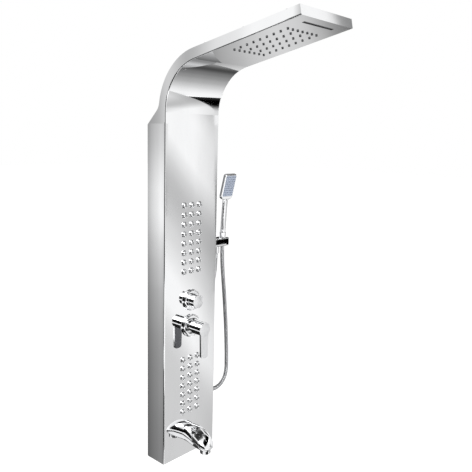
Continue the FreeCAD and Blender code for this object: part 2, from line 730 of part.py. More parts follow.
def make_rain_head():
    """The silicone nozzle mat on the sheet, the chamber over it and the nuts on its studs."""
    wall = s.sheet_wall
    side = s.rain_width / 2
    near = s.rain_start
    far = s.rain_start + s.rain_length
    rim = s.plastic_wall + s.fit_gap
    places = nozzle_places()
    mat = head_body("nozzle_mat")
    pad(mat, "XY", wall, s.mat_wall, [rectangle(rim - side, side - rim, rim - far, -(near + rim))])
    pad(mat, "XY", -s.nozzle_reach, s.nozzle_reach + wall, [Disc(x, y, s.nozzle_tip) for x, y in places])
    cut(mat, "XY", -s.nozzle_reach - 1, s.nozzle_reach + wall + s.mat_wall + 2,
        [Disc(x, y, s.nozzle_bore) for x, y in places])

    chamber = head_body("rain_chamber")
    inset = s.plastic_wall
    pad(chamber, "XY", wall, s.rain_height, [rectangle(-side, side, -far, -near)])
    lugs = [rectangle(x - s.lug, x + s.lug, y - s.lug, y + s.lug) for x, y in stud_places()]
    pad(chamber, "XY", wall, s.lug_height, lugs)
    cut(chamber, "XY", wall - 1, s.rain_height - inset + 1,
        [rectangle(inset - side, side - inset, inset - far, -(near + inset))])
    hose_inlet(chamber, "XZ", near, -1, -s.rain_inlet, wall + s.inlet_lift)
    clearance = [Disc(x, y, s.stud + s.fit_gap) for x, y in stud_places()]
    cut(chamber, "XY", wall - 1, s.lug_height + 2, clearance)

    nuts = head_body("chamber_nuts")
    pad(nuts, "XY", wall + s.lug_height, s.stud_nut_height,
        [hex_at(x, y, s.stud_nut) for x, y in stud_places()])
    cut(nuts, "XY", wall + s.lug_height - 1, s.stud_nut_height + 2, clearance)


def make_waterfall():
    """The flat chute over the slot, with its lip through the sheet and its inlet at the left."""
    wall = s.sheet_wall
    inset = s.plastic_wall
    half = s.slot_length / 2
    side = half + inset * 2
    near = s.slot_place - s.chute_depth / 2
    far = s.slot_place + s.chute_depth / 2
    low = -(s.slot_place + s.slot_height / 2)
    high = -(s.slot_place - s.slot_height / 2)
    chute = head_body("waterfall_chute")
    pad(chute, "XY", wall, s.chute_height, [rectangle(-side, side, -far, -near)])
    pad(chute, "XY", -wall / 2, wall * 1.5, [rectangle(-half, half, low, high)])
    cut(chute, "XY", wall + inset, s.chute_height - inset * 2,
        [rectangle(inset - side, side - inset, inset - far, -(near + inset))])
    lip = s.chute_lip
    cut(chute, "XY", -wall, wall * 2 + inset + 1, [rectangle(lip - half, half - lip, low + lip, high - lip)])
    hose_inlet(chute, "YZ", -side, -1, -s.slot_place, wall + s.inlet_lift)


# ---------------------------------------------------------------- body jets

manifold_y = keep("manifold_y", inside_front + s.manifold_depth / 2)


def manifold_rise(rows):
    return (rows - 1) / 2 * s.jet_row_pitch + s.manifold_margin


def make_jets(name, height, rows):
    """One group: chrome domes on the front, silicone nozzles in them and the manifold behind."""
    first_x = -(s.jet_columns - 1) / 2 * s.jet_column_pitch
    first_z = level(height) - (rows - 1) / 2 * s.jet_row_pitch
    crown = s.jet_dome_height
    domes = new_body(name + "_jet_domes", first_x, front, first_z, FACING["out"])
    dome = revolve(domes, [(s.jet_bore, -s.jet_stem_length), (s.jet_stem, -s.jet_stem_length),
                           (s.jet_stem, 0), (s.jet_dome, 0), (s.jet_dome, crown * s.jet_rim_share),
                           (s.jet_bore * s.jet_mouth_share, crown, s.jet_dome * s.jet_round_share),
                           (s.jet_bore, crown)])
    grid(domes, [dome], s.jet_column_pitch, s.jet_columns, s.jet_row_pitch, rows)
    inserts = new_body(name + "_jet_nozzles", first_x, front, first_z, FACING["out"])
    outside = s.jet_bore - s.fit_gap
    rim = s.jet_insert_reach
    insert = revolve(inserts, [(s.nozzle_bore, -s.jet_stem_length), (outside, -s.jet_stem_length),
                               (outside, crown - rim), (outside * s.jet_tip_share, crown + rim),
                               (s.nozzle_bore, crown + rim)])
    grid(inserts, [insert], s.jet_column_pitch, s.jet_columns, s.jet_row_pitch, rows)

    side = s.manifold_width / 2
    low = level(height) - manifold_rise(rows)
    high = level(height) + manifold_rise(rows)
    rear = -(inside_front + s.manifold_depth)
    wall = s.plastic_wall
    manifold = new_body(name + "_jet_manifold")
    pad(manifold, "XZ", rear, s.manifold_depth, [rectangle(-side, side, low, high)])
    cut(manifold, "XZ", rear + wall, s.manifold_depth - wall * 2,
        [rectangle(wall - side, side - wall, low + wall, high - wall)])
    cut(manifold, "XZ", -inside_front - wall - 1, wall + 2,
        [Disc(x, z, s.jet_stem + s.fit_gap) for x, z in jet_places(height, rows)])
    return manifold


# ---------------------------------------------------------------- escutcheons and valves

def escutcheon_outline(rim, height, hole):
    """A dished ring cover: an upright rim, a rounded shoulder and a flat top with a hole."""
    wall = s.escutcheon_wall
    shoulder = height - s.escutcheon_rim
    return [(rim - wall, 0), (rim, 0), (rim, s.escutcheon_rim), (rim - shoulder, height, shoulder),
            (hole, height), (hole, height - wall), (rim - shoulder - wall, height - wall),
            (rim - wall, s.escutcheon_rim)]


def crown_radius(half, rise):
    """Radius of a shallow crown of that rise over that half width."""
    return (half * half + rise * rise) / (2 * rise)


def round_height(radius, distance):
    """Height of a sphere of that radius at a distance from its axis."""
    return root(radius * radius - distance * distance)


def ring_nut(name, height, start, length, across, hole):
    """A hexagon nut on a valve's neck."""
    nut = valve_body(name, height)
    pad(nut, "XY", start, length, [hexagon(across)])
    cut(nut, "XY", start - 1, length + 2, [Disc(0, 0, hole + s.fit_gap)])


def make_diverter():
    """A six-way valve with seven ports round it, and the knob that turns its cartridge."""
    z = s.diverter_height
    depth = s.diverter_valve_depth
    neck_top = s.diverter_neck_height
    seat = s.escutcheon_height - depth
    body = valve_body("diverter_body", z)
    revolve(body, [(0, -depth), (s.diverter_valve, -depth), (s.diverter_valve, -s.sheet_wall),
                   (s.diverter_neck, -s.sheet_wall), (s.diverter_neck, neck_top), (0, neck_top)])
    block_start = s.diverter_valve * s.block_share
    block = pad(body, "XZ", block_start, s.port_reach - block_start, [Disc(0, -s.port_depth, s.port_block)])
    barb = pad(body, "XZ", s.port_reach - 1, s.barb_length + 1,
               [Disc(0, -s.port_depth, s.inner_hose_bore - s.fit_gap)])
    around(body, [block, barb], s.valve_ports)
    port = cut(body, "XZ", 2, s.port_reach + s.barb_length, [Disc(0, -s.port_depth, s.port_bore)])
    around(body, [port], s.valve_ports)
    hole = s.diverter_cartridge + s.fit_gap
    revolve(body, [(0, seat), (hole, seat), (hole, neck_top + 1), (0, neck_top + 1)], "Groove")
    spindle_foot = seat / 2
    spindle_hole = s.spindle + s.running_gap
    turned("diverter_cartridge", 0, front, level(z), "out",
           [(0, seat), (s.diverter_cartridge, seat), (s.diverter_cartridge, neck_top),
            (spindle_hole, neck_top), (spindle_hole, spindle_foot), (0, spindle_foot)])
    ring_nut("diverter_nut", z, 0, neck_top, s.diverter_neck + s.nut_grip, s.diverter_neck)
    height = s.escutcheon_height
    turned("diverter_escutcheon", 0, front, level(z), "out",
           escutcheon_outline(s.diverter_escutcheon, height, s.diverter_neck))
    collar_top = height + s.collar_height
    bevel = s.collar_height / 3
    collar_hole = s.spindle + s.clear_gap * 2
    turned("diverter_collar", 0, front, level(z), "out",
           [(collar_hole, height), (s.collar, height), (s.collar, collar_top - bevel),
            (s.collar - bevel, collar_top, bevel), (collar_hole, collar_top)])
    socket = s.knob_face - s.spindle_socket
    turned("diverter_spindle", 0, front, level(z), "out",
           tube_outline(0, s.spindle, spindle_foot + s.clear_gap, socket))
    knob = valve_body("diverter_knob", z)
    start = collar_top + s.clear_gap
    edge = s.knob_edge
    shoulder = s.knob_face - s.knob_crown
    revolve(knob, [(0, socket), (s.spindle + s.fit_gap, socket), (s.spindle + s.fit_gap, start),
                   (s.knob - edge / 2, start), (s.knob, start + edge / 2), (s.knob, shoulder - edge),
                   (s.knob - edge, shoulder, edge),
                   (0, s.knob_face, crown_radius(s.knob - edge, s.knob_crown))])
    lock_screw("knob_set_screw", knob, z, (start + socket) / 2, s.spindle, s.knob, s.set_screw)


def lock_screw(name, holder, height, up, foot, rim, radius):
    """A headless hexagon-socket screw in a hole from the holder's underside to its shaft."""
    length = (rim - foot) * s.set_screw_share
    start = foot + s.running_gap
    cut(holder, "XZ", foot - 1, rim, [Disc(0, up, radius + s.fit_gap)])
    screw = valve_body(name, height)
    pad(screw, "XZ", start, length, [Disc(0, up, radius)])
    cut(screw, "XZ", start + length / 2, length, [hex_at(0, up, radius * s.set_socket_share)])


def make_mixer_valve():
    """The brass body with an outlet that takes the diverter's lowest barb and two threaded inlets
    that face the wall, its cartridge and the trim that covers them."""
    z = s.mixer_height
    top = s.mixer_neck_height
    arm = -s.port_depth
    half = s.inlet_spacing / 2
    body = valve_body("mixer_body", z)
    revolve(body, [(0, -s.mixer_valve_depth), (s.mixer_valve, -s.mixer_valve_depth),
                   (s.mixer_valve, -s.sheet_wall), (s.mixer_neck, -s.sheet_wall), (s.mixer_neck, top),
                   (0, top)])
    pad(body, "YZ", -half, half * 2, [Disc(0, arm, s.inlet_arm)])
    inlets = [side * half for side in (-1, 1)]
    shoulder = arm - s.inlet_arm - s.inlet_collar
    pad(body, "XY", shoulder, (s.inlet_arm + s.inlet_collar) * 2, [Disc(x, 0, s.inlet_arm) for x in inlets])
    thread = s.inlet_thread_length
    pad(body, "XY", shoulder - thread, thread + 1, [Disc(x, 0, s.inlet_thread) for x in inlets])
    outlet = s.diverter_height - s.port_reach - z
    pad(body, "XZ", -outlet, outlet - s.mixer_valve * s.block_share, [Disc(0, arm, s.outlet_boss)])
    cut(body, "XY", shoulder - thread - 1, thread + 1 + s.inlet_arm + s.inlet_collar,
        [Disc(x, 0, s.inlet_bore) for x in inlets])
    cut(body, "YZ", -half, half * 2, [Disc(0, arm, s.outlet_bore)])
    cut(body, "XZ", -outlet - 1, outlet, [Disc(0, arm, s.port_bore)])
    cut(body, "XZ", -outlet - 1, s.barb_length + 1 + s.clear_gap, [Disc(0, arm, s.inner_hose_bore)])
    seat = -s.cartridge_depth
    hole = s.cartridge + s.fit_gap
    revolve(body, [(0, seat), (hole, seat), (hole, top + 1), (0, top + 1)], "Groove")
    mouth = s.yoke + s.clear_gap
    nut_start = top / 2
    turned("mixer_cartridge", 0, front, level(z), "out",
           [(0, seat), (s.cartridge, seat), (s.cartridge, nut_start), (mouth, nut_start),
            (mouth, -s.yoke_depth), (0, -s.yoke_depth)])
    turned("cartridge_nut", 0, front, level(z), "out", tube_outline(mouth, s.cartridge, nut_start, top))
    nut_height = s.flange_nut_height
    ring_nut("mixer_flange_nut", z, 0, nut_height, s.mixer_neck + s.nut_grip, s.mixer_neck)
    inner = s.dome - s.dome_wall
    opening = s.dome_opening
    turned("mixer_dome", 0, front, level(z), "out",
           [(round_height(inner, nut_height), nut_height, -inner),
            (round_height(s.dome, nut_height), nut_height),
            (opening, round_height(s.dome, opening), s.dome), (opening, round_height(inner, opening))])
    under = s.escutcheon_height - s.escutcheon_wall
    turned("mixer_escutcheon", 0, front, level(z), "out",
           escutcheon_outline(s.mixer_escutcheon, s.escutcheon_height,
                              round_height(s.dome, under) + s.clear_gap))


def make_lever():
    """The yoke that swings in the cartridge, the pin through it, and the stem and lever that tilt."""
    z = s.mixer_height
    pin = s.lever_pin
    ear_inner = s.stem + s.clear_gap * 2
    ear_outer = ear_inner + s.ear_wall
    yoke = valve_body("cartridge_yoke", z)
    base = s.fit_gap - s.yoke_depth
    pad(yoke, "XY", base, s.yoke_base, [Disc(0, 0, s.yoke)])
    ears = [rectangle(-ear_outer, -ear_inner, -s.ear_width / 2, s.ear_width / 2),
            rectangle(ear_inner, ear_outer, -s.ear_width / 2, s.ear_width / 2)]
    pad(yoke, "XY", base + s.yoke_base - 1, 1 - base - s.yoke_base + pin * 2, ears)
    cut(yoke, "YZ", -ear_outer - 1, ear_outer * 2 + 2, [Disc(0, 0, pin)])
    rod = valve_body("lever_pin", z)
    pad(rod, "YZ", -ear_outer, ear_outer * 2, [Disc(0, 0, pin)])
    plate_back = s.lever_face - s.lever_plate
    stem_top = plate_back - s.lever_plate
    stem = valve_body("lever_stem", z)
    eye = s.stem - s.clear_gap
    pad(stem, "YZ", -s.stem, s.stem * 2, [Disc(0, 0, eye)])
    pad(stem, "XY", 0, stem_top, [Disc(0, 0, s.stem)])
    cut(stem, "YZ", -ear_inner, ear_inner * 2, [Disc(0, 0, pin + s.running_gap)])

    handle = valve_body("lever_handle", z)
    hollow = s.dome + s.clear_gap * 2
    crown = s.lever_crown
    skirt = s.hub - s.hub_bevel
    revolve(handle, [(0, hollow), (skirt, round_height(hollow, skirt), -hollow), (s.hub, s.hub_start),
                     (s.hub, s.lever_face - crown), (0, s.lever_face, crown_radius(s.hub, crown))])
    tip = s.lever_tip_width / 2
    wide = s.lever_width / 2
    corner = s.lever_corner
    pad(handle, "XY", plate_back, s.lever_plate - crown,
        [[(-wide, 0), (-tip, corner - s.lever_reach), (corner - tip, -s.lever_reach, corner),
          (tip - corner, -s.lever_reach), (tip, corner - s.lever_reach, corner), (wide, 0)]])
    cut(handle, "XY", hollow - 2, stem_top - hollow + 2, [Disc(0, 0, s.stem + s.fit_gap)])
    lock_screw("handle_screw", handle, z, (hollow + stem_top) / 2, s.stem, s.hub, s.handle_screw)


# ---------------------------------------------------------------- lofted and cut solids

def ellipse(name, placement, half_width, half_height, x, y, z):
    """A section for a loft, its wider axis across the panel."""
    section = document.addObject("Part::Ellipse", name)
    section.Placement = placement
    bind(section, {"MajorRadius": half_width, "MinorRadius": half_height, "Placement.Base.x": x,
                   "Placement.Base.y": y, "Placement.Base.z": z})
    return section


def loft(name, sections):
    solid = document.addObject("Part::Loft", name)
    solid.Sections = sections
    solid.Solid = True
    solid.Ruled = False
    return solid


def rod_along(name, rotation, radius, length, x, y, z):
    rod = document.addObject("Part::Cylinder", name)
    rod.Placement = Placement(Vector(), rotation)
    bind(rod, {"Radius": radius, "Height": length, "Placement.Base.x": x, "Placement.Base.y": y,
               "Placement.Base.z": z})
    return rod


def together(name, shapes):
    whole = document.addObject("Part::MultiFuse", name)
    whole.Shapes = shapes
    return whole


def take_out(name, base, tool):
    """A finished sub-part: the base without the tool."""
    result = document.addObject("Part::Cut", name)
    result.Base = base
    result.Tool = tool
    result.Label = name
    pieces.append(result)
    return result


# ---------------------------------------------------------------- spout

# Distance from the panel as a share of the reach, half width as a share of the widest, and the
# tops and bottoms as shares of the base's radius above and below its middle.
SPOUT_SECTIONS = [(0.21, 0.93, 1.03, -1.0), (0.47, 1.0, 0.87, -1.07), (0.73, 0.91, 0.4, -1.13),
                  (0.92, 0.63, -0.23, -1.13), (1.0, 0.23, -0.67, -0.93)]


def make_spout():
    """A broad egg-shaped body on a threaded shank, with a round aerator under its tip."""
    out = FACING["out"]
    z = level(s.spout_height)
    sections = [ellipse("spout_base", Placement(Vector(), out), s.spout_base, s.spout_base, 0, front, z)]
    for share, width, top, bottom in SPOUT_SECTIONS:
        sections.append(ellipse("spout_section", Placement(Vector(), out), s.spout_half_width * width,
                                s.spout_base * (top - bottom) / 2, 0, front - s.spout_reach * share,
                                z + s.spout_base * (top + bottom) / 2))
    shank_foot = front + s.shank_length
    shank = rod_along("spout_shank", out, s.spout_shank, s.shank_length * 1.15, 0, shank_foot, z)
    mouth_y = front - s.aerator_reach
    seat = level(s.aerator_seat)
    passage = rod_along("spout_passage", out, s.spout_bore, s.shank_length + s.aerator_reach + 1, 0,
                        shank_foot + 1, z)
    bend = document.addObject("Part::Sphere", "spout_bend")
    bind(bend, {"Radius": s.spout_bore, "Placement.Base.y": mouth_y, "Placement.Base.z": z})
    drop = rod_along("spout_drop", FACING["down"], s.spout_bore, s.spout_base, 0, mouth_y, z)
    socket = rod_along("aerator_socket", FACING["down"], s.aerator + s.fit_gap, s.spout_base, 0, mouth_y,
                       seat)
    take_out("spout_body", together("spout_blank", [loft("spout_egg", sections), shank]),
             together("spout_hollow", [passage, bend, drop, socket]))

    throat = s.aerator_throat
    inlet = s.aerator_inlet
    lip = s.aerator_round
    shelf = s.aerator_shelf
    turned("spout_aerator", 0, mouth_y, seat, "down",
           [(inlet, 0), (s.aerator, 0), (s.aerator, s.aerator_length - lip),
            (s.aerator - lip, s.aerator_length, lip), (throat, s.aerator_length), (throat, shelf),
            (inlet, shelf)])
    screen = new_body("aerator_screen", 0, mouth_y, seat, FACING["down"])
    pad(screen, "XY", shelf, s.aerator_length - shelf * 1.5, [Disc(0, 0, throat - s.fit_gap)])
    holes = [Disc(0, 0, s.screen_hole)]
    for reach in (throat / 3, throat * 2 / 3):
        holes += [Disc(x, y, s.screen_hole) for x, y in hexagon(reach)]
    cut(screen, "XY", 0, s.aerator_length, holes)

    height = s.spout_nut_height
    ring_nut("spout_nut", s.spout_height, -s.sheet_wall - height, height,
             s.spout_shank + s.small_nut_grip, s.spout_shank)
    elbow = valve_body("spout_elbow", s.spout_height)
    end = -s.shank_length
    arm = end - s.inner_hose - 1
    foot = arm - s.inner_hose - 1
    grip = s.spout_shank + s.elbow_wall
    revolve(elbow, [(0, foot), (grip, foot), (grip, end + height), (0, end + height)])
    pad(elbow, "XZ", -s.elbow_reach, s.elbow_reach, [Disc(0, arm, s.inner_hose)])
    pad(elbow, "XZ", -s.elbow_reach - s.barb_length, s.barb_length + 1,
        [Disc(0, arm, s.inner_hose_bore - s.fit_gap)])
    hole = s.spout_shank + s.fit_gap
    revolve(elbow, [(0, end), (hole, end), (hole, end + height + 1), (0, end + height + 1)], "Groove")
    revolve(elbow, tube_outline(0, s.elbow_bore, arm - s.elbow_bore, end + 1), "Groove")
    cut(elbow, "XZ", -s.elbow_reach - s.barb_length - 1, s.elbow_reach + s.barb_length,
        [Disc(0, arm, s.port_bore)])


# ---------------------------------------------------------------- handset holder and its outlet

cradle_x = keep("cradle_x", half_width + s.cradle_reach)
outlet_x = keep("outlet_x", half_width + s.outlet_reach)
holder_low = keep("holder_low", level(s.holder_height) - s.holder_tall / 2)
cone_length = keep("cone_length", s.holder_tall + s.cone_stand)


def make_holder():
    """A block on the panel's right side with a conical cradle, and the hose outlet under it."""
    holder = new_body("holder_body", half_width, -s.holder_depth, level(s.holder_height))
    deep = s.holder_deep / 2
    tall = s.holder_tall / 2
    pad(holder, "YZ", 0, s.holder_length, [rounded(-deep, deep, -tall, tall, s.holder_edge)])
    at_end = float(s.holder_length) - 0.01
    round_edges(holder, lambda edge: edge.BoundBox.XMin > at_end, s.holder_end_round)
    pad(holder, "YZ", -s.shank_inside, s.shank_inside + 1, [Disc(0, 0, s.holder_shank)])
    pad(holder, "YZ", -s.shank_inside - s.barb_length, s.barb_length + 1,
        [Disc(0, 0, s.inner_hose_bore - s.fit_gap)])
    pad(holder, "XY", -tall - s.outlet_length, s.outlet_length + 1,
        [Disc(s.outlet_reach, 0, s.outlet_thread)])
    barb_end = s.shank_inside + s.barb_length + 1
    cut(holder, "YZ", -barb_end, s.outlet_reach + barb_end, [Disc(0, 0, s.port_bore)])
    cut(holder, "XY", -tall - s.outlet_length - 1, tall + s.outlet_length + 1,
        [Disc(s.outlet_reach, 0, s.outlet_bore)])
    half = s.slot_width / 2
    cut(holder, "XY", -tall - 1, s.holder_tall + 2,
        [rectangle(s.cradle_reach, s.holder_length + 1, -half, half)])
    gap = s.running_gap
    seat = Placement(Vector(), FACING["up"])
    cone = document.addObject("Part::Cone", "cradle_cone")
    cone.Placement = seat
    bind(cone, {"Radius1": s.cone_foot + gap, "Radius2": s.cone_top + gap, "Height": cone_length,
                "Placement.Base.x": cradle_x, "Placement.Base.y": -s.holder_depth,
                "Placement.Base.z": holder_low})
    drilled(holder, cone)
    nut = new_body("holder_nut", half_width, -s.holder_depth, level(s.holder_height))
    height = s.holder_nut_height
    pad(nut, "YZ", -s.sheet_wall - height, height, [hexagon(s.holder_shank + s.small_nut_grip)])
    cut(nut, "YZ", -s.sheet_wall - height - 1, height + 2, [Disc(0, 0, s.holder_shank + s.fit_gap)])

    top = holder_low - s.hose_nut_gap
    foot = top - s.hose_nut_length
    seal_top = holder_low - s.outlet_length
    thread = s.outlet_thread + s.fit_gap
    floor_level = seal_top - s.seal_thickness
    turned("hose_nut", outlet_x, -s.holder_depth, foot, "up",
           [(s.hose_bore, 0), (s.hose_nut - 1, 0), (s.hose_nut, 1), (s.hose_nut, s.hose_nut_length),
            (thread, s.hose_nut_length), (thread, floor_level - foot), (s.hose_bore, floor_level - foot)])
    turned("outlet_seal", outlet_x, -s.holder_depth, floor_level, "up",
           tube_outline(s.hose_bore, s.outlet_thread, 0, s.seal_thickness))
    shelf = cone_length - s.spigot_length - s.seal_thickness
    socket = s.spigot + s.running_gap
    turned("cone_nut", cradle_x, -s.holder_depth, holder_low, "up",
           [(s.hose_bore, 0), (s.cone_foot, 0), (s.cone_top, cone_length), (socket, cone_length),
            (socket, shelf), (s.hose_bore, shelf)])
    turned("handset_seal", cradle_x, -s.holder_depth, holder_low + shelf, "up",
           tube_outline(s.hose_bore, s.spigot, 0, s.seal_thickness))


# ---------------------------------------------------------------- handset

# Distance up the grip as a share of its length, and half sizes as shares of the grip's.
GRIP_SECTIONS = [(0.3, 0.97, 1.1), (0.6, 1.0, 1.0), (0.9, 1.05, 0.97)]


def grip_point(along):
    """A point on the grip's axis, as Y and Z."""
    return (-s.holder_depth - along * sine(s.grip_tilt),
            holder_low + cone_length + along * cosine(s.grip_tilt))


def spray_body(name):
    """A sub-part in the spray head's frame: its Z runs up the head and its -Y is the sprayed side."""
    y, z = grip_point(s.grip_length)
    return new_body(name, cradle_x, y, z, Rotation(Vector(1, 0, 0), float(s.head_tilt)))


def spray_places():
    """The handset's nozzles, in a grid on its face."""
    places = []
    columns = int(float(s.spray_columns))
    rows = int(float(s.spray_rows))
    middle = (s.face_foot + s.spray_length - s.face_inset) / 2
    for row in range(rows):
        for column in range(columns):
            places.append(((column - (columns - 1) / 2) * s.spray_column_pitch,
                           middle + (row - (rows - 1) / 2) * s.spray_row_pitch))
    return places


def face_outline(inset):
    side = s.spray_width / 2 - s.face_inset - inset
    return rounded(-side, side, s.face_foot + inset, s.spray_length - s.face_inset - inset,
                   s.face_corner - inset)


def make_handset():
    """A slim hand shower: spigot, lofted grip and a flat paddle head with its nozzle face."""
    grip_turn = Rotation(Vector(1, 0, 0), float(s.grip_tilt))
    y, z = grip_point(0)
    sections = [ellipse("neck_section", Placement(), s.handset_neck, s.handset_neck, cradle_x, y, z)]
    y, z = grip_point(s.spigot_length)
    sections.append(ellipse("neck_end", Placement(Vector(), grip_turn), s.handset_neck, s.handset_neck,
                            cradle_x, y, z))
    for share, width, thickness in GRIP_SECTIONS:
        y, z = grip_point(s.grip_length * share)
        sections.append(ellipse("grip_section", Placement(Vector(), grip_turn), s.grip_width / 2 * width,
                                s.grip_thickness / 2 * thickness, cradle_x, y, z))
    y, z = grip_point(s.grip_length)
    inside = s.spray_shoulder / 2
    head_turn = Rotation(Vector(1, 0, 0), float(s.head_tilt))
    sections.append(ellipse("grip_top", Placement(Vector(), head_turn), s.grip_width * s.grip_top_width,
                            s.spray_thickness * s.grip_top_thickness, cradle_x,
                            y - inside * sine(s.head_tilt), z + inside * cosine(s.head_tilt)))
    paddle = spray_body("spray_paddle")
    pieces.remove(paddle)
    half = s.spray_width / 2
    foot = s.grip_width / 2
    round_start = s.spray_shoulder
    shoulder = round_start * s.shoulder_round_share
    top = s.spray_length
    corner = s.spray_corner
    thick = s.spray_thickness / 2
    pad(paddle, "XZ", -thick, thick * 2,
        [[(-foot, 0, shoulder), (foot, 0), (half, round_start, shoulder),
          (half, top - corner), (half - corner, top, corner), (corner - half, top),
          (-half, top - corner, corner), (-half, round_start)]])
    limit = float(thick) - 0.01
    round_edges(paddle, lambda edge: edge.BoundBox.YLength < 0.01 and abs(edge.BoundBox.YMin) > limit,
                s.spray_round)
    spigot = rod_along("handset_spigot", FACING["up"], s.spigot, s.spigot_length + 1, cradle_x,
                       -s.holder_depth, holder_low + cone_length - s.spigot_length)
    blank = together("handset_blank", [loft("grip", sections), paddle, spigot])

    face_depth = thick - s.face_wall - s.spray_mat
    hollow = spray_body("spray_hollow")
    pieces.remove(hollow)
    pad(hollow, "XZ", face_depth, thick, [face_outline(0)])
    pad(hollow, "XZ", face_depth - s.spray_cavity, s.spray_cavity + 1, [face_outline(s.ledge)])
    neck_hole = rod_along("neck_hole", FACING["up"], s.hose_bore, s.spigot_length + 2, cradle_x,
                          -s.holder_depth, holder_low + cone_length - s.spigot_length - 1)
    y, z = grip_point(0)
    grip_hole = rod_along("grip_hole", grip_turn, s.grip_bore, s.grip_length + s.face_foot + s.ledge + 2,
                          cradle_x, y, z)
    take_out("handset_shell", blank, together("handset_hollow", [hollow, neck_hole, grip_hole]))

    face = spray_body("handset_face")
    places = spray_places()
    pad(face, "XZ", thick - s.face_wall, s.face_wall, [face_outline(s.fit_gap)])
    cut(face, "XZ", thick - s.face_wall - 1, s.face_wall + 2,
        [Disc(x, z, s.spray_tip + s.fit_gap) for x, z in places])
    mat = spray_body("handset_nozzles")
    pad(mat, "XZ", face_depth, s.spray_mat, [face_outline(s.fit_gap)])
    pad(mat, "XZ", face_depth + s.spray_mat, s.face_wall + s.spray_tip_reach,
        [Disc(x, z, s.spray_tip) for x, z in places])
    cut(mat, "XZ", face_depth - 1, thick + s.face_wall, [Disc(x, z, s.spray_tip / 3) for x, z in places])


# ---------------------------------------------------------------- hoses

class Route:
    """Straight runs through corner points, joined by tangent arcs. A corner may name its own arc's
    radius as a fourth value, otherwise the arc takes 0.45 of the shorter run beside it."""

    def __init__(self, corners):
        points = [Vector(*[float(value) for value in corner[:3]]) for corner in corners]
        self.stretches = []
        self.radii = []
        last = points[0]
        for index in range(1, len(points) - 1):
            before = (points[index] - points[index - 1]).normalize()
            after = (points[index + 1] - points[index]).normalize()
            half_turn = before.getAngle(after) / 2
            run = min(points[index].distanceToPoint(points[index - 1]),
                      points[index].distanceToPoint(points[index + 1]))
            radius = 0.45 * run / math.tan(half_turn)
            if len(corners[index]) == 4:
                radius = float(corners[index][3])
            tangent = radius * math.tan(half_turn)
            arc_start = points[index] - before * tangent
            inward = (after - before).normalize()
            centre = points[index] + inward * (radius / math.cos(half_turn))
            self.stretches.append((last, arc_start, None, before))
            arc_end = points[index] + after * tangent
            self.stretches.append((arc_start, arc_end, centre, before))
            self.radii.append(radius)
            last = arc_end
        self.stretches.append((last, points[-1], None, (points[-1] - last).normalize()))
        self.turns = [0.0 if centre is None else (first - centre).getAngle(end - centre)
                      for first, end, centre, heading in self.stretches]
        self.lengths = [first.distanceToPoint(end) if centre is None
                        else turn * first.distanceToPoint(centre)
                        for (first, end, centre, heading), turn in zip(self.stretches, self.turns)]
        self.length = sum(self.lengths)

    def place(self, distance):
        """The point and heading at a distance from the start."""
        for (first, end, centre, heading), length in zip(self.stretches, self.lengths):
            if distance <= length or end is self.stretches[-1][1]:
                break
            distance -= length
        if centre is None:
            return first + heading * distance, heading
        arm = first - centre
        radius = arm.Length
        angle = distance / radius
        point = centre + arm * math.cos(angle) + heading * (radius * math.sin(angle))
        return point, (heading * math.cos(angle) - arm * (math.sin(angle) / radius)).normalize()

    def wire(self):
        edges = []
        for (first, end, centre, heading), turn in zip(self.stretches, self.turns):
            if centre is None:
                edges.append(Part.LineSegment(first, end).toShape())
            else:
                arm = first - centre
                middle = centre + arm * math.cos(turn / 2) + heading * (arm.Length * math.sin(turn / 2))
                edges.append(Part.Arc(first, middle, end).toShape())
        return Part.Wire(edges)


def circle_at(point, heading, radius):
    """A circle square to the heading, with its X axis kept steady along the route."""
    steady = Vector(0, 1, 0)
    across = (steady - heading * steady.dot(heading)).normalize()
    circle = Part.Wire(Part.makeCircle(radius))
    circle.Placement = Placement(point, Rotation(across, heading.cross(across), heading, "ZXY"))
    return circle


def plain_tube(route, radius):
    """A round rod that follows the whole route."""
    point, heading = route.place(0)
    return route.wire().makePipeShell([circle_at(point, heading, radius)], True, False)


def clip_at(point, heading, outer, inner, width):
    ring = Part.makeCylinder(outer, width, point, heading)
    return ring.cut(Part.makeCylinder(inner, width, point, heading))


def make_inner_hose(name, corners, clips):
    """A rubber hose from the shoulder of one barb to the shoulder of another, with its clips."""
    route = Route(corners)
    outer = float(s.inner_hose)
    tube = plain_tube(route, outer).cut(plain_tube(route, float(s.inner_hose_bore)))
    add_shape(name, tube)
    print(name, "length", round(route.length), "tightest bend", round(min(route.radii), 1))
    width = float(s.clip_width)
    margin = (float(s.barb_length) - width) / 2
    for distance in (margin, route.length - margin - width):
        point, heading = route.place(distance)
        inner = outer + float(s.running_gap)
        clips.append(clip_at(point, heading, inner + float(s.clip_wall), inner, width))


def port_place(number, run):
    """The shoulder of one of the diverter's ports, and a point straight out from it. The ports are
    counted from the lowest one, against the clock as seen from the front."""
    angle = 270 + 360 * number / s.valve_ports
    across = cosine(angle)
    up = sine(angle)
    y = front + s.port_depth
    middle = level(s.diverter_height)
    return [(across * reach, y, middle + up * reach)
            for reach in (s.port_reach, s.port_reach + run)]


def head_place(x, along, up):
    """A point in the head's frame: along the head from the arch, and up from the underside."""
    return (x, head_y - along * tilt_cosine + up * tilt_sine,
            head_z + along * tilt_sine + up * tilt_cosine)


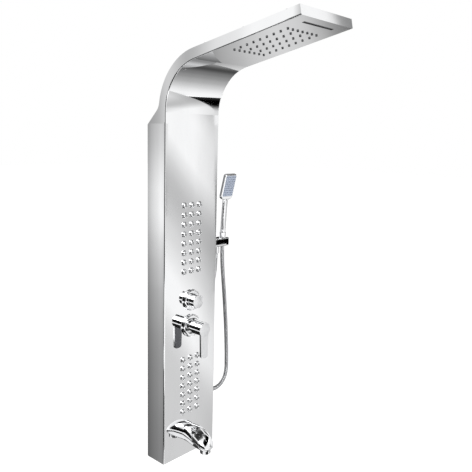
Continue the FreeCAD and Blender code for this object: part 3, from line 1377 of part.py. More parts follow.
def make_inner_hoses():
    """The hoses inside the casing, from the diverter to each outlet."""
    clips = []
    middle_reach = s.arch_round + s.hose_lift
    arch_line = arch_y + middle_reach
    turn = (90 - s.underside_tilt) / 2
    arch_corner = arch_z + middle_reach * sine(turn) / cosine(turn)
    behind = s.hose_behind
    upper_low = level(s.upper_jets_height) - manifold_rise(s.upper_jet_rows)
    upper_high = level(s.upper_jets_height) + manifold_rise(s.upper_jet_rows)

    def arch_way(x):
        """Up the column behind the upper manifold and round the arch."""
        return [(x, -behind, upper_low), (x, -behind, upper_high),
                (x, arch_line, upper_high + s.arch_lead),
                (x, arch_line, arch_corner, middle_reach)]

    inlet_up = s.sheet_wall + s.inlet_lift
    rain_end = head_place(-s.rain_inlet, s.rain_start - s.stub_length, inlet_up)
    make_inner_hose("rain_hose", port_place(4, s.port_run) + arch_way(-s.rain_inlet) + [rain_end], clips)
    side_x = s.hose_side
    chute_side = s.slot_length / 2 + s.plastic_wall * 2 + s.stub_length
    chute_corner = head_place(-side_x, s.slot_place, inlet_up) + (s.inner_bend,)
    make_inner_hose("waterfall_hose", port_place(5, s.port_run) + arch_way(-side_x)
                    + [chute_corner, head_place(-chute_side, s.slot_place, inlet_up)], clips)
    inlet = upper_low - s.stub_length
    make_inner_hose("upper_jet_hose", port_place(3, s.port_run)
                    + [(s.upper_inlet, manifold_y, inlet - s.port_run), (s.upper_inlet, manifold_y, inlet)],
                    clips)
    lower_side = s.manifold_width / 2 + s.stub_length
    lower_z = level(s.lower_inlet_height)
    port_y = front + s.port_depth
    lower_x = -s.lower_hose_down
    make_inner_hose("lower_jet_hose", port_place(6, s.port_run)
                    + [(lower_x, port_y, level(s.mixer_height)),
                       (lower_x, manifold_y, lower_z, s.inner_bend), (-lower_side, manifold_y, lower_z)],
                    clips)
    down_x = s.hose_down
    elbow_y = front + s.shank_length + s.inner_hose + 1
    elbow_z = level(s.spout_height) + s.elbow_reach
    make_inner_hose("spout_hose", port_place(1, s.port_run)
                    + [(down_x, port_y, level(s.mixer_height)), (down_x, -behind, lower_z),
                       (0, elbow_y, elbow_z + s.spout_hose_rise), (0, elbow_y, elbow_z)], clips)
    shank_end = half_width - s.shank_inside
    rise_x = shank_end - s.hose_turn_room
    holder_z = level(s.holder_height)
    make_inner_hose("handset_hose", port_place(2, s.hose_turn_room)
                    + [(rise_x, -s.holder_depth, holder_z - s.handset_hose_rise),
                       (rise_x, -s.holder_depth, holder_z, s.inner_bend),
                       (shank_end, -s.holder_depth, holder_z)], clips)
    add_shape("hose_clips", Part.Compound(clips))


def make_shower_hose():
    """The free metal hose from the outlet down beside the panel and up to the cone."""
    start = float(holder_low - s.hose_nut_gap - s.hose_nut_length)
    end = float(holder_low)
    depth = -float(s.holder_depth)
    x_out = float(outlet_x)
    x_in = float(cradle_x)
    middle = [(131, -34, -485), (125, -20, -585), (122, -16, -690), (120, -15, -803), (155, -15, -838),
              (205, -15, -838), (240, -15, -803), (239, -15, -722), (228, -20, -628), (207, -31, -528),
              (184, -43, -435)]
    corners = [(x_out, depth, start), (x_out, depth, start - float(s.hose_drop))] + middle
    corners += [(x_in, depth, end - float(s.hose_rise)), (x_in, depth, end)]
    route = Route(corners)
    print("shower_hose length", round(route.length), "tightest bend", round(min(route.radii), 1))
    valley = float(s.hose - s.hose_rib)
    crest = float(s.hose)
    ribs = int(float(s.hose_ribs))
    collar = crest * float(s.end_collar)
    pitch = (route.length - collar * 2) / ribs
    circles = [circle_at(*route.place(0), crest)]
    for rib in range(ribs):
        foot = collar + rib * pitch
        for share, radius in ((0.1, valley), (0.25, crest), (0.75, crest), (0.9, valley)):
            circles.append(circle_at(*route.place(foot + share * pitch), radius))
    circles.append(circle_at(*route.place(route.length), crest))
    outside = Part.makeLoft(circles, True, True)
    add_shape("shower_hose", outside.cut(plain_tube(route, float(s.hose_bore))))


def make_parts():
    """Every sub-part of the column, from the casing to the hoses."""
    make_casing()
    make_rain_head()
    make_waterfall()
    upper = make_jets("upper", s.upper_jets_height, s.upper_jet_rows)
    hose_inlet(upper, "XY", level(s.upper_jets_height) - manifold_rise(s.upper_jet_rows), -1,
               s.upper_inlet, manifold_y)
    lower = make_jets("lower", s.lower_jets_height, s.lower_jet_rows)
    hose_inlet(lower, "YZ", -s.manifold_width / 2, -1, manifold_y, level(s.lower_inlet_height))
    make_diverter()
    make_mixer_valve()
    make_lever()
    make_spout()
    make_holder()
    make_handset()
    make_inner_hoses()
    make_shower_hose()


def check_and_write():
    """Stop at anything broken, then write one file for each sub-part."""
    document.recompute()
    for item in document.Objects:
        if "Invalid" in item.State or "Error" in item.State:
            raise RuntimeError(f"{item.Label} didn't compute: {item.State}")
    os.makedirs("parts", exist_ok=True)
    for piece in pieces:
        if piece.Shape.isNull() or not piece.Shape.isValid() or not piece.Shape.Solids:
            raise RuntimeError(f"{piece.Label} isn't a sound solid")
        piece.Shape.exportStep(f"parts/{piece.Label}.step")
    print(len(pieces), "sub-parts written")


make_parts()
check_and_write()
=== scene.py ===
# %% [markdown]
# A polished shower panel column for a bathroom wall. The metal body comes from the CAD file with its
# real sizes. This script gives it a studio, finishes for every part, and the hoses, which are soft
# and so are drawn here as smooth curves. All lengths are metres.

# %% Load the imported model
import math

import bpy
from mathutils import Matrix, Vector


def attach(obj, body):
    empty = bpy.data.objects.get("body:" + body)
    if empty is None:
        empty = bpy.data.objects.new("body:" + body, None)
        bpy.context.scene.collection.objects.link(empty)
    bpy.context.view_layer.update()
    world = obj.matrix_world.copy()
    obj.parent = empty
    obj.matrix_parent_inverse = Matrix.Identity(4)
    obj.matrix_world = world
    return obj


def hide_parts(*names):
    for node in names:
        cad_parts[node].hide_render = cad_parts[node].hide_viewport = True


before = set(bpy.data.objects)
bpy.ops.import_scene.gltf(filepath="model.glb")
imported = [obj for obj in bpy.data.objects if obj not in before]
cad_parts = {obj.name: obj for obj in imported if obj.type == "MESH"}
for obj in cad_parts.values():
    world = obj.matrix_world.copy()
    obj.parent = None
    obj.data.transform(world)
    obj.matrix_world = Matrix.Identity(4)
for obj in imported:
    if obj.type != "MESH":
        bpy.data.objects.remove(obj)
scene = bpy.context.scene
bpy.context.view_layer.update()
print("nodes:", len(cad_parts))

# %% [markdown]
# The camera stands where the photographer's did: in front, to the left, and level with the upper
# part of the column, tilted down a little. A lens of 45 mm on a 36 mm sensor gives the same
# perspective. It could be aimed with a Track To constraint, but three angles say it more exactly.

# %% The camera
CAMERA_PLACE = Vector((-1.24235, -1.39147, 0.0486))
CAMERA_TURN = math.radians(-47.773)
CAMERA_TILT = math.radians(-9.649)
CAMERA_ROLL = math.radians(-1.438)

turn = (Matrix.Rotation(CAMERA_TURN, 3, "Z") @ Matrix.Rotation(CAMERA_TILT, 3, "X")
        @ Matrix.Rotation(CAMERA_ROLL, 3, "Y"))
right, ahead, up = turn.col
axes = Matrix((right, up, -ahead)).transposed()
camera_data = bpy.data.cameras.new("camera")
camera_data.lens = 45.02
camera_data.sensor_width = 36
camera_data.clip_end = 100
camera = bpy.data.objects.new("camera", camera_data)
camera.matrix_world = Matrix.Translation(CAMERA_PLACE) @ axes.to_4x4()
scene.collection.objects.link(camera)
scene.camera = camera
print("camera looks along", [round(value, 3) for value in ahead])

# %% [markdown]
# Shader graphs are easier to read when the code that places nodes is short. This helper adds a node,
# sets plain values on its sockets and links the rest, whether the value is a number or a socket.

# %% Helpers for shader graphs
def add_node(tree, kind, values=None, **settings):
    """Add a node, set its properties, then set or link its inputs by name or number."""
    node = tree.nodes.new(kind)
    for name, value in settings.items():
        setattr(node, name, value)
    for name, value in (values or {}).items():
        if isinstance(value, bpy.types.NodeSocket):
            tree.links.new(value, node.inputs[name])
        else:
            node.inputs[name].default_value = value
    return node


def grey(value):
    return (value, value, value, 1.0)


def make_group(name, inputs, outputs):
    """An empty shader group with named float, colour or vector sockets."""
    tree = bpy.data.node_groups.new(name, "ShaderNodeTree")
    for label, kind, default in inputs:
        socket = tree.interface.new_socket(label, in_out="INPUT", socket_type="NodeSocket" + kind)
        if default is not None:
            socket.default_value = default
    for label, kind in outputs:
        tree.interface.new_socket(label, in_out="OUTPUT", socket_type="NodeSocket" + kind)
    return tree, tree.nodes.new("NodeGroupInput"), tree.nodes.new("NodeGroupOutput")


# %% [markdown]
# Handled metal is never perfectly even. Wiping leaves soft smears, and hard water leaves faint dried
# drops. The group below gives one mask for both, so that every polished part can use it with its own
# strength. The smears are stretched noise and the drops are the rims of Voronoi cells.

# %% Group: smears and dried drops
smear_tree, smear_in, smear_out = make_group(
    "smears_and_drops",
    [("Vector", "Vector", None), ("Scale", "Float", 14.0), ("Drops", "Float", 0.3)],
    [("Mask", "Float")])
stretch = add_node(smear_tree, "ShaderNodeMapping",
                   {"Vector": smear_in.outputs["Vector"], "Scale": (1.0, 1.0, 0.35)})
smears = add_node(smear_tree, "ShaderNodeTexNoise",
                  {"Vector": stretch.outputs[0], "Scale": smear_in.outputs["Scale"], "Detail": 5.0,
                   "Roughness": 0.62, "Distortion": 0.7})
soft = add_node(smear_tree, "ShaderNodeMapRange",
                {"Value": smears.outputs[0], "From Min": 0.42, "From Max": 0.78})
drop_scale = add_node(smear_tree, "ShaderNodeMath",
                      {0: smear_in.outputs["Scale"], 1: 9.0}, operation="MULTIPLY")
cells = add_node(smear_tree, "ShaderNodeTexVoronoi",
                 {"Vector": smear_in.outputs["Vector"], "Scale": drop_scale.outputs[0]})
rim = add_node(smear_tree, "ShaderNodeMapRange",
               {"Value": cells.outputs["Distance"], "From Min": 0.16, "From Max": 0.2, "To Min": 1.0,
                "To Max": 0.0})
few = add_node(smear_tree, "ShaderNodeMath", {0: soft.outputs[0], 1: 0.55}, operation="GREATER_THAN")
drops = add_node(smear_tree, "ShaderNodeMath", {0: rim.outputs[0], 1: few.outputs[0]},
                 operation="MULTIPLY")
weighed = add_node(smear_tree, "ShaderNodeMath", {0: drops.outputs[0], 1: smear_in.outputs["Drops"]},
                   operation="MULTIPLY")
both = add_node(smear_tree, "ShaderNodeMath", {0: soft.outputs[0], 1: weighed.outputs[0]},
                operation="ADD", use_clamp=True)
smear_tree.links.new(both.outputs[0], smear_out.inputs["Mask"])
print("group:", smear_tree.name)

# %% [markdown]
# Rolled sheet and moulded plastic carry a fine grain. A stretched noise stands for the rolling marks
# and a plain one for moulded texture, so the group takes the stretch as an input.

# %% Group: grain
grain_tree, grain_in, grain_out = make_group(
    "grain",
    [("Vector", "Vector", None), ("Scale", "Float", 900.0), ("Stretch", "Vector", (1.0, 1.0, 1.0))],
    [("Mask", "Float")])
drawn = add_node(grain_tree, "ShaderNodeVectorMath",
                 {0: grain_in.outputs["Vector"], 1: grain_in.outputs["Stretch"]}, operation="MULTIPLY")
grains = add_node(grain_tree, "ShaderNodeTexNoise",
                  {"Vector": drawn.outputs[0], "Scale": grain_in.outputs["Scale"], "Detail": 4.0,
                   "Roughness": 0.6})
grain_tree.links.new(grains.outputs[0], grain_out.inputs["Mask"])
print("group:", grain_tree.name)

# %% [markdown]
# A finish is a Principled shader whose colour, roughness and normal vary a little. Each finish says
# how far it swings. Sockets that stay the same all over are set directly, because a linked constant
# is lost when the model is exported.

# %% A helper for finishes
def new_material(name):
    material = bpy.data.materials.new(name)
    material.use_nodes = True
    tree = material.node_tree
    tree.nodes.clear()
    shader = tree.nodes.new("ShaderNodeBsdfPrincipled")
    out = tree.nodes.new("ShaderNodeOutputMaterial")
    tree.links.new(shader.outputs[0], out.inputs[0])
    place = tree.nodes.new("ShaderNodeTexCoord").outputs["Object"]
    return material, tree, shader, place


def use_group(tree, group, values):
    return add_node(tree, "ShaderNodeGroup", values, node_tree=group)


def between(tree, mask, low, high):
    """A mask stretched from one number to another."""
    return add_node(tree, "ShaderNodeMapRange",
                    {"Value": mask, "To Min": low, "To Max": high}).outputs[0]


def mix_colours(tree, mask, first, second):
    """The first colour where the mask is 0 and the second where it is 1. A Mix node has sockets for
    every kind of data, and numbers 6, 7 and output 2 are those for colours."""
    return add_node(tree, "ShaderNodeMix", {0: mask, 6: first, 7: second},
                    data_type="RGBA").outputs[2]


def bump(tree, height, strength, distance):
    return add_node(tree, "ShaderNodeBump",
                    {"Height": height, "Strength": strength, "Distance": distance}).outputs[0]


# Painted shade: this dark colour is mixed into a hose's grooves and stands in for the shade inside
# them.
GROOVE_PAINTED_SHADE = (0.03, 0.03, 0.032, 1)


def polished_metal(name, colour, smeared, roughness, smear_scale=14.0, waves=0.0, wave_scale=5.0,
                   painted_shade_attribute=None):
    """A mirror finish: bright metal with faint smears, and with slow waves where it is thin sheet.
    A mesh attribute can darken it with painted shade, as in the grooves of a ribbed hose."""
    material, tree, shader, place = new_material(name)
    marks = use_group(tree, smear_tree, {"Vector": place, "Scale": smear_scale})
    shader.inputs["Metallic"].default_value = 1.0
    metal = mix_colours(tree, marks.outputs["Mask"], colour, smeared)
    if painted_shade_attribute:
        # Painted shade: the attribute mixes the dark groove colour into the metal.
        shade = tree.nodes.new("ShaderNodeAttribute")
        shade.attribute_name = painted_shade_attribute
        metal = mix_colours(tree, shade.outputs["Fac"], metal, GROOVE_PAINTED_SHADE)
    tree.links.new(metal, shader.inputs["Base Color"])
    tree.links.new(between(tree, marks.outputs["Mask"], roughness[0], roughness[1]),
                   shader.inputs["Roughness"])
    if waves:
        slow = add_node(tree, "ShaderNodeTexNoise", {"Vector": place, "Scale": wave_scale,
                                                     "Detail": 1.0})
        tree.links.new(bump(tree, slow.outputs[0], 1.0, waves), shader.inputs["Normal"])
    return material


def grained(name, low, high, roughness, metallic, scale, stretch_by=(1, 1, 1), depth=0.00002,
            coat=0.0, sheen=0.0):
    """A grained finish for brushed metal, cast metal, plastic or rubber."""
    material, tree, shader, place = new_material(name)
    mask = use_group(tree, grain_tree, {"Vector": place, "Scale": scale,
                                        "Stretch": stretch_by}).outputs["Mask"]
    shader.inputs["Metallic"].default_value = metallic
    shader.inputs["Coat Weight"].default_value = coat
    shader.inputs["Sheen Weight"].default_value = sheen
    tree.links.new(mix_colours(tree, mask, low, high), shader.inputs["Base Color"])
    tree.links.new(between(tree, mask, roughness[0], roughness[1]), shader.inputs["Roughness"])
    tree.links.new(bump(tree, mask, 0.6, depth), shader.inputs["Normal"])
    return material


# %% [markdown]
# The casing is stainless sheet, polished to a mirror and folded. Thin sheet is never quite flat, so
# slow waves bend its reflections a little. Chrome parts are turned or cast, so they have no waves.

# %% Polished steel and chrome
CLEAN_CHROME = (0.9, 0.905, 0.915, 1)
SMEARED_CHROME = (0.82, 0.825, 0.835, 1)

mirror_steel = polished_metal("mirror_steel", (0.93, 0.934, 0.942, 1), (0.88, 0.884, 0.892, 1),
                              (0.025, 0.085), smear_scale=7.0, waves=0.00012, wave_scale=3.5)
chrome = polished_metal("bright_chrome", CLEAN_CHROME, SMEARED_CHROME, (0.02, 0.07),
                        smear_scale=30.0)
# The hose's grooves get painted shade from the groove attribute of its node tree.
hose_chrome = polished_metal("hose_chrome", (0.66, 0.665, 0.68, 1), (0.5, 0.505, 0.52, 1),
                             (0.14, 0.28), smear_scale=40.0, painted_shade_attribute="groove")
print("mirror finishes:", mirror_steel.name, chrome.name, hose_chrome.name)

# %% [markdown]
# The knob's and the lever's front faces are satin, and their sides are bright. The face could be a
# part of its own, but one finish with a mask is simpler: the mask is one where the surface faces
# forward in the part's own space, so it turns with the part. A second mask is one where the surface
# faces backward, and gives the back a dull, dark cast finish.

# %% Satin faces with bright sides
SATIN_CHROME = (0.74, 0.745, 0.755, 1)
CAST_BACK = (0.1, 0.1, 0.108, 1)
CAST_BACK_GRAIN = (0.16, 0.162, 0.17, 1)


def satin_faced(name):
    material, tree, shader, place = new_material(name)
    facing = add_node(tree, "ShaderNodeTexCoord").outputs["Normal"]
    forward = add_node(tree, "ShaderNodeSeparateXYZ", {0: facing}).outputs["Y"]
    face = add_node(tree, "ShaderNodeMapRange",
                    {"Value": forward, "From Min": -0.9, "From Max": -0.975}).outputs[0]
    fine = use_group(tree, grain_tree, {"Vector": place, "Scale": 1400.0,
                                        "Stretch": (1.0, 0.05, 0.05)}).outputs["Mask"]
    marks = use_group(tree, smear_tree, {"Vector": place, "Scale": 30.0}).outputs["Mask"]
    shader.inputs["Metallic"].default_value = 1.0
    bright = mix_colours(tree, marks, CLEAN_CHROME, SMEARED_CHROME)
    satin = mix_colours(tree, fine, SATIN_CHROME, SMEARED_CHROME)
    back = add_node(tree, "ShaderNodeMapRange",
                    {"Value": forward, "From Min": 0.9, "From Max": 0.975}).outputs[0]
    dull = mix_colours(tree, fine, CAST_BACK, CAST_BACK_GRAIN)
    turned = mix_colours(tree, back, bright, dull)
    tree.links.new(mix_colours(tree, face, turned, satin), shader.inputs["Base Color"])
    side_roughness = between(tree, marks, 0.02, 0.08)
    face_roughness = between(tree, fine, 0.3, 0.42)
    mixed = add_node(tree, "ShaderNodeMix", {0: face, 2: side_roughness, 3: face_roughness})
    tree.links.new(mixed.outputs[0], shader.inputs["Roughness"])
    tree.links.new(bump(tree, fine, 0.25, 0.00001), shader.inputs["Normal"])
    return material


satin_chrome = satin_faced("satin_faced_chrome")
print("masked finish:", satin_chrome.name)

# %% [markdown]
# Behind the casing there are plain parts: rolled steel brackets, turned screws, cast brass valves
# and moulded plastic manifolds. Each is the grained finish with its own colours, scale and depth.

# %% Plain metals, plastics and rubber
plain_steel = grained("rolled_steel", (0.5, 0.505, 0.51, 1), (0.66, 0.665, 0.67, 1), (0.28, 0.42),
                      1.0, 260.0, (0.04, 1.0, 1.0))
screw_steel = grained("turned_steel", (0.5, 0.5, 0.505, 1), (0.68, 0.685, 0.69, 1), (0.2, 0.34),
                      1.0, 900.0)
brass = grained("cast_brass", (0.63, 0.42, 0.19, 1), (0.78, 0.56, 0.27, 1), (0.3, 0.46), 1.0, 620.0,
                depth=0.00006)
white_plastic = grained("moulded_plastic", (0.76, 0.76, 0.75, 1), (0.84, 0.84, 0.83, 1),
                        (0.36, 0.48), 0.0, 500.0)
ceramic_plastic = grained("cartridge_plastic", (0.6, 0.61, 0.62, 1), (0.7, 0.71, 0.72, 1),
                          (0.4, 0.52), 0.0, 500.0)
chute_plastic = grained("chute_plastic", (0.1, 0.1, 0.105, 1), (0.15, 0.15, 0.155, 1),
                        (0.4, 0.52), 0.0, 500.0)
face_plastic = grained("spray_face_plastic", (0.42, 0.48, 0.6, 1), (0.5, 0.56, 0.68, 1),
                       (0.28, 0.4), 0.0, 800.0, coat=0.15)
black_rubber = grained("seal_rubber", (0.02, 0.02, 0.022, 1), (0.045, 0.045, 0.048, 1), (0.55, 0.7),
                       0.0, 700.0, sheen=0.15)
print("last grained finish:", black_rubber.name)

# %% [markdown]
# The rain nozzles are silicone, pale at the root and dark at the tip. The mat is one solid, so the
# colour follows the height over the head's underside. The underside is tilted, and a Mapping node
# turns the object's coordinates until its Z is square to it. The other nozzles have one colour, so
# their dark tips start far above the object.

# %% Silicone nozzles
FAR_ABOVE = (5.0, 6.0)
RAIN_TIPS = (-0.0004, -0.0012)
GRAIN_SHADE = 0.88


def silicone(name, pale, dark, turned=(0, 0, 0), moved=(0, 0, 0), tip_heights=FAR_ABOVE):
    """Soft silicone that darkens between two heights in a turned frame."""
    material, tree, shader, place = new_material(name)
    own = add_node(tree, "ShaderNodeMapping", {"Vector": place, "Location": moved,
                                               "Rotation": turned}, vector_type="TEXTURE")
    height = add_node(tree, "ShaderNodeSeparateXYZ", {0: own.outputs[0]}).outputs["Z"]
    tip = add_node(tree, "ShaderNodeMapRange",
                   {"Value": height, "From Min": tip_heights[0],
                    "From Max": tip_heights[1]}).outputs[0]
    mask = use_group(tree, grain_tree, {"Vector": place, "Scale": 900.0}).outputs["Mask"]
    body = mix_colours(tree, mask, pale, tuple(GRAIN_SHADE * value for value in pale[:3]) + (1,))
    tree.links.new(mix_colours(tree, tip, body, dark), shader.inputs["Base Color"])
    tree.links.new(between(tree, mask, 0.34, 0.5), shader.inputs["Roughness"])
    shader.inputs["Coat Weight"].default_value = 0.1
    tree.links.new(bump(tree, mask, 0.4, 0.00002), shader.inputs["Normal"])
    return material


HEAD_TILT = math.radians(-11.8)
HEAD_START = (0.0, -0.19276, 0.24948)
rain_silicone = silicone("rain_silicone", (0.5, 0.51, 0.52, 1), (0.03, 0.03, 0.035, 1),
                         (HEAD_TILT, 0, 0), HEAD_START, RAIN_TIPS)
spray_silicone = silicone("spray_silicone", (0.06, 0.08, 0.15, 1), (0.03, 0.04, 0.09, 1))
grey_silicone = silicone("jet_silicone", (0.34, 0.35, 0.36, 1), (0.2, 0.2, 0.21, 1))
print("silicones:", rain_silicone.name, spray_silicone.name, grey_silicone.name)

# %% [markdown]
# Every CAD node but the hoses keeps its shape and gets its finish here. The hoses aren't in this
# list, because new pieces will stand for them.

# %% Finishes of the CAD nodes
FINISHES = {
    mirror_steel: ["panel_shell", "bottom_cover", "back_cover"],
    plain_steel: ["upper_wall_bracket", "lower_wall_bracket", "upper_hanger_bar",
                  "lower_hanger_bar", "diverter_nut", "mixer_flange_nut", "spout_nut", "holder_nut",
                  "cartridge_nut", "cartridge_yoke", "lever_stem", "diverter_spindle",
                  "aerator_screen"],
    screw_steel: ["cover_screws", "chamber_nuts", "knob_set_screw", "handle_screw", "lever_pin",
                  "hose_clips"],
    chrome: ["upper_jet_domes", "lower_jet_domes", "diverter_escutcheon", "diverter_collar",
             "mixer_escutcheon", "mixer_dome", "spout_body", "spout_aerator", "holder_body",
             "hose_nut", "cone_nut", "handset_shell"],
    satin_chrome: ["diverter_knob", "lever_handle"],
    brass: ["diverter_body", "mixer_body", "spout_elbow"],
    white_plastic: ["upper_jet_manifold", "lower_jet_manifold", "rain_chamber"],
    chute_plastic: ["waterfall_chute"],
    ceramic_plastic: ["diverter_cartridge", "mixer_cartridge"],
    face_plastic: ["handset_face"],
    rain_silicone: ["nozzle_mat"],
    grey_silicone: ["upper_jet_nozzles", "lower_jet_nozzles"],
    spray_silicone: ["handset_nozzles"],
    black_rubber: ["outlet_seal", "handset_seal"],
}


def give_finish(item, material):
    item.data.materials.clear()
    item.data.materials.append(material)


for material, names in FINISHES.items():
    for name in names:
        give_finish(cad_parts[name], material)
print("finished nodes:", sum(len(names) for names in FINISHES.values()))

# %% [markdown]
# A hose is a curve with a few control points. Its NURBS spline gives one smooth line, which falls
# from the outlet under its own weight and rises to the cradle. Blender turns a curve without a bevel
# into a mesh of points along that line, and the node tree below sweeps the hose along those points.

# %% Helper: the line of a hose
LINE_STEPS = 24


def hose_line(name, points):
    """A smooth line through a hose's route, as a mesh of points and edges."""
    curve = bpy.data.curves.new(name + "_line", "CURVE")
    curve.dimensions = "3D"
    curve.resolution_u = LINE_STEPS
    spline = curve.splines.new("NURBS")
    spline.points.add(len(points) - 1)
    for point, place in zip(spline.points, points):
        point.co = (*place, 1.0)
    spline.order_u = 3
    spline.use_endpoint_u = True
    holder = bpy.data.objects.new(name + "_line", curve)
    scene.collection.objects.link(holder)
    bpy.context.view_layer.update()
    graph = bpy.context.evaluated_depsgraph_get()
    line = bpy.data.meshes.new_from_object(holder.evaluated_get(graph))
    bpy.data.objects.remove(holder)
    path = [tuple(vertex.co) for vertex in line.vertices]
    length = sum((Vector(a) - Vector(b)).length for a, b in zip(path, path[1:]))
    print(name, "line:", len(path), "points,", round(length, 3), "m")
    return line, path, length


# %% [markdown]
# The metal hose is a strip wound into interlocking ribs. Modelling the winding would take hundreds
# of turns by hand, so a Geometry Nodes tree does it: it resamples the line, makes the radius swell
# and narrow once for each rib, and sweeps a circle along it. The plain rubber hoses inside use the
# same tree with no ribs. Its inputs are the sizes that a hose is ordered by.

# %% Node tree: a hose round a line
GROOVE_SHARPNESS = 2.2


def build_hose_tree():
    tree = bpy.data.node_groups.new("hose_round_line", "GeometryNodeTree")
    tree.interface.new_socket("Line", in_out="INPUT", socket_type="NodeSocketGeometry")
    for label, kind, default in (("Radius", "Float", 0.007), ("Rib Depth", "Float", 0.001),
                                 ("Ribs", "Int", 100), ("Steps", "Int", 600), ("Sides", "Int", 24),
                                 ("Smooth Share", "Float", 0.01), ("Finish", "Material", None)):
        socket = tree.interface.new_socket(label, in_out="INPUT", socket_type="NodeSocket" + kind)
        if default is not None:
            socket.default_value = default
    tree.interface.new_socket("Hose", in_out="OUTPUT", socket_type="NodeSocketGeometry")
    given = tree.nodes.new("NodeGroupInput").outputs
    result = tree.nodes.new("NodeGroupOutput")

    def maths(operation, first, second=0.0):
        return add_node(tree, "ShaderNodeMath", {0: first, 1: second},
                        operation=operation).outputs[0]

    line = add_node(tree, "GeometryNodeMeshToCurve", {0: given["Line"]})
    even = add_node(tree, "GeometryNodeResampleCurve",
                    {"Curve": line.outputs[0], "Count": given["Steps"]})
    share = tree.nodes.new("GeometryNodeSplineParameter").outputs["Factor"]
    turns = maths("MULTIPLY", share, given["Ribs"])
    phase = maths("MULTIPLY", turns, 2 * math.pi)
    wave = maths("ABSOLUTE", maths("SINE", maths("MULTIPLY", phase, 0.5)))
    groove = maths("POWER", maths("SUBTRACT", 1.0, wave), GROOVE_SHARPNESS)
    from_ends = maths("MINIMUM", share, maths("SUBTRACT", 1.0, share))
    ribbed = maths("GREATER_THAN", from_ends, given["Smooth Share"])
    depth = maths("MULTIPLY", maths("MULTIPLY", groove, ribbed), given["Rib Depth"])
    radius = maths("SUBTRACT", given["Radius"], depth)
    # The groove share is stored so that the hose's finish can paint shade into the grooves.
    marked = add_node(tree, "GeometryNodeStoreNamedAttribute",
                      {"Geometry": even.outputs[0], "Name": "groove",
                       "Value": maths("MULTIPLY", groove, ribbed)}, domain="POINT")
    sized = add_node(tree, "GeometryNodeSetCurveRadius", {"Curve": marked.outputs[0],
                                                          "Radius": radius})
    ring = add_node(tree, "GeometryNodeCurvePrimitiveCircle", {"Resolution": given["Sides"],
                                                               "Radius": 1.0})
    swept = add_node(tree, "GeometryNodeCurveToMesh", {"Curve": sized.outputs[0],
                                                       "Profile Curve": ring.outputs[0],
                                                       "Fill Caps": True})
    if "Scale" in swept.inputs:
        tree.links.new(tree.nodes.new("GeometryNodeInputRadius").outputs[0], swept.inputs["Scale"])
    smooth = add_node(tree, "GeometryNodeSetShadeSmooth", {0: swept.outputs[0]})
    real = add_node(tree, "GeometryNodeRealizeInstances", {0: smooth.outputs[0]})
    finish = add_node(tree, "GeometryNodeSetMaterial", {0: real.outputs[0],
                                                        "Material": given["Finish"]})
    tree.links.new(finish.outputs[0], result.inputs[0])
    return tree


hose_tree = build_hose_tree()
print("tree:", hose_tree.name, len(hose_tree.nodes), "nodes")


# %% Helper: run a node tree on a mesh
def run_tree(name, mesh, tree, values):
    """Give the mesh a node tree's result as a plain mesh, with the object at the origin."""
    item = bpy.data.objects.new(name, mesh)
    scene.collection.objects.link(item)
    modifier = item.modifiers.new("nodes", "NODES")
    modifier.node_group = tree
    keys = {socket.name: socket.identifier for socket in tree.interface.items_tree
            if socket.in_out == "INPUT"}
    for label, value in values.items():
        modifier[keys[label]] = value
    bpy.context.view_layer.update()
    graph = bpy.context.evaluated_depsgraph_get()
    made = bpy.data.meshes.new_from_object(item.evaluated_get(graph))
    item.modifiers.clear()
    item.data = made
    made.name = name
    print(name, "has", len(made.polygons), "faces")
    return item


# %% [markdown]
# The shower hose hangs free from its outlet, makes one loop beside the column and comes up into the
# cone under the hand shower. It is about 1.1 m long, 14 mm thick and of medium stiffness.

# %% The shower hose
HOSE_ROUTE = [
    (0.137, -0.050, -0.337), (0.137, -0.050, -0.395), (0.131, -0.034, -0.485),
    (0.125, -0.020, -0.585), (0.122, -0.016, -0.690), (0.120, -0.015, -0.803),
    (0.155, -0.015, -0.838), (0.205, -0.015, -0.838), (0.240, -0.015, -0.803),
    (0.239, -0.015, -0.722), (0.228, -0.020, -0.628), (0.207, -0.031, -0.528),
    (0.184, -0.043, -0.435), (0.168, -0.050, -0.3625), (0.168, -0.050, -0.3145),
]
HOSE_RADIUS = 0.007
RIB_PITCH = 0.0034
RIB_STEPS = 6
RIB_DEPTH = 0.0009
PLAIN_END_SHARE = 0.014
HOSE_SIDES = 24

line, hose_path, hose_length = hose_line("shower_hose", HOSE_ROUTE)
ribs = round(hose_length / RIB_PITCH)
ribbed_hose = run_tree("ribbed_hose", line, hose_tree,
                       {"Radius": HOSE_RADIUS, "Rib Depth": RIB_DEPTH, "Ribs": ribs,
                        "Steps": ribs * RIB_STEPS + 1, "Sides": HOSE_SIDES,
                        "Smooth Share": PLAIN_END_SHARE, "Finish": hose_chrome})
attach(ribbed_hose, "panel")
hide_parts("shower_hose")

# %% [markdown]
# Six rubber hoses inside the casing carry water from the diverter to each outlet. Both of their ends
# are clamped, so they are captive and not free cords. Their clips are CAD nodes.

